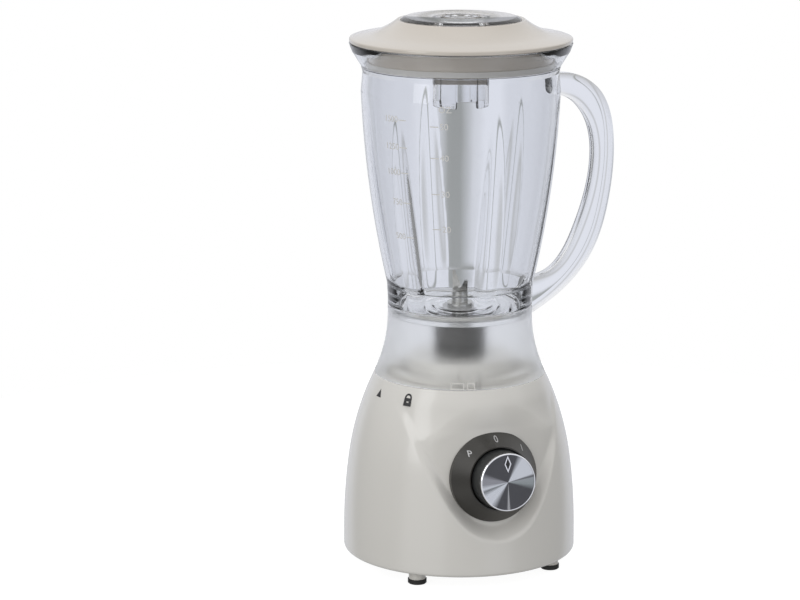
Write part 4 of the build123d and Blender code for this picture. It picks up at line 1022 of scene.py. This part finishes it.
def frameLines(x0, x1, y0, y1, w):
    return [bar(x0, x1, y0, y0 + w), bar(x0, x1, y1 - w, y1), bar(x0, x0 + w, y0 + w, y1 - w),
            bar(x1 - w, x1, y0 + w, y1 - w)]


def bow(x, y, inner, outer, count=14):
    turns = np.linspace(0, math.pi, count)
    near, far = ([(x + r * math.cos(t), y + r * math.sin(t)) for t in turns] for r in (inner, outer))
    return strip(near, far)


def letters(text, size, align, x=0.0, y=0.0):
    # flat letters half a unit deep to either side, moved so that their depth runs from 0 to 1
    half = 0.5
    curve = bpy.data.curves.new("letters", "FONT")
    curve.body = text
    curve.size = size
    curve.extrude = half
    curve.resolution_u = 4
    curve.align_x = align
    curve.align_y = "CENTER"
    holder = bpy.data.objects.new("letters", curve)
    scene.collection.objects.link(holder)
    bpy.context.view_layer.update()
    mesh = bpy.data.meshes.new_from_object(holder.evaluated_get(bpy.context.evaluated_depsgraph_get()))
    verts = [(v.co.x + x, v.co.y + y, v.co.z + half) for v in mesh.vertices]
    faces = [tuple(p.vertices) for p in mesh.polygons]
    bpy.data.objects.remove(holder)
    bpy.data.meshes.remove(mesh)
    return verts, faces


def printed(name, parts, place, slot, body):
    verts, faces = [], []
    low, rise = markSet["low"], markSet["high"] - markSet["low"]
    for partVerts, partFaces in parts:
        start = len(verts)
        verts += [place(x, y, low + up * rise) for x, y, up in partVerts]
        faces += [tuple(start + k for k in face) for face in partFaces]
    return newPiece(name, verts, faces, slot, body, 30)


def around(radiusAt, turn, z):
    # where marks drawn flat come to lie on a round side; turn is in degrees from the front
    def place(x, y, up):
        r = radiusAt(z + y)
        angle = math.radians(turn) + x / radiusAt(z)
        return (r + up) * math.sin(angle), -(r + up) * math.cos(angle), z + y
    return place


def castOn(name, start, toward):
    # where a ray first meets a CAD node
    piece = nodes[name]
    back = piece.matrix_world.inverted()
    hit, place = piece.ray_cast(back @ start, (back.to_3x3() @ toward).normalized())[:2]
    return piece.matrix_world @ place if hit else None


def onDial(x, y, up):
    above = dialFoot + dialSide * x + dialUp * y + dialOut * markSet["dialAway"]
    return castOn("dial_bezel", above, -dialOut) + dialOut * up


def onFace(x, y, up):
    return dialFoot + dialSide * x + dialUp * y + dialOut * (markSet["face"] + up)


def skirtSide(z):
    start = Vector((0, -markSet["skirtAway"], z))
    return math.hypot(*castOn("jar_skirt", start, Vector((0, 1, 0))).xy)


def jarSide(z):
    return jarOuterRadius(jarSet, z)


def housingSide(z):
    skin = housingLine[housingLine[:, 1] > markSet["skinFrom"]]
    return float(np.interp(z, skin[:, 1], skin[:, 0]))


def makeScale(c, kind, way, align):
    # ticks with their figures, way being the side on which the figures stand
    tickL, tickH = c["tick"]
    for number, height in c[kind + "s"]:
        figure = letters(str(number), c["letter"], align, way * (tickL / 2 + c["figureGap"]))
        parts = [bar(-tickL / 2, tickL / 2, -tickH / 2, tickH / 2), figure]
        place = around(jarSide, c[kind + "Turn"], height * mm)
        printed(f"{kind}{number}", parts, place, "seal_rubber", "jug")


def makeMarks(c):
    makeScale(c, "millilitre", -1, "RIGHT")
    makeScale(c, "ounce", 1, "LEFT")
    ounceName = letters("OZ", c["letter"], "LEFT", c["tick"][0] / 2)
    place = around(jarSide, c["ounceTurn"], c["ounceName"] * mm)
    printed("ounceName", [ounceName], place, "seal_rubber", "jug")
    for word, turn in c["dialMarks"]:
        t = math.radians(turn)
        mark = letters(word, c["dialLetter"], "CENTER", c["dialR"] * math.sin(t), c["dialR"] * math.cos(t))
        printed("dialMark" + word, [mark], onDial, "plain_steel", "base")
    low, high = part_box("knob_pointer")
    up = ((low + high) / 2 - dialFoot).dot(dialUp)
    inner, outer = ([(0, up + h * mm), (w * mm, up), (0, up - h * mm), (-w * mm, up)]
                    for w, h in c["pointer"])
    printed("pointerOutline", [strip(inner, outer, True)], onFace, "bright_trim", "knob")
    turn, z = c["triangle"]
    (wide, narrow), (rise, tip) = c["triangleHalf"], c["triangleUp"]
    sign = strip([(-wide, 0), (0, 0), (wide, 0)], [(-narrow, rise), (0, tip), (narrow, rise)])
    printed("triangleSign", [sign], around(housingSide, turn, z * mm), "pointer_dark", "base")
    turn, z = c["padlock"]
    half, tall, line = c["padlockBody"]
    lock = frameLines(-half, half, 0, tall, line) + [bow(0, tall, *c["padlockBow"])]
    printed("padlockSign", lock, around(housingSide, turn, z * mm), "pointer_dark", "base")
    turn, z = c["window"]
    lines = []
    for left, right in c["windowPanes"]:
        lines += frameLines(left, right, 0, c["windowH"], c["windowLine"])
    printed("lockWindow", lines, around(skirtSide, turn, z * mm), "seal_rubber", "jug")


makeMarks(markSet)
print("marks made")

# ---- the frame's own nodes get their finishes ----
replaced = ("base_housing", "jar", "lid", "filler_cap")
for name, piece in nodes.items():
    if name not in replaced:
        slot = piece.data.materials[0].name
        piece.data.materials[0] = finishes[slot]
print("the frame's own nodes finished")
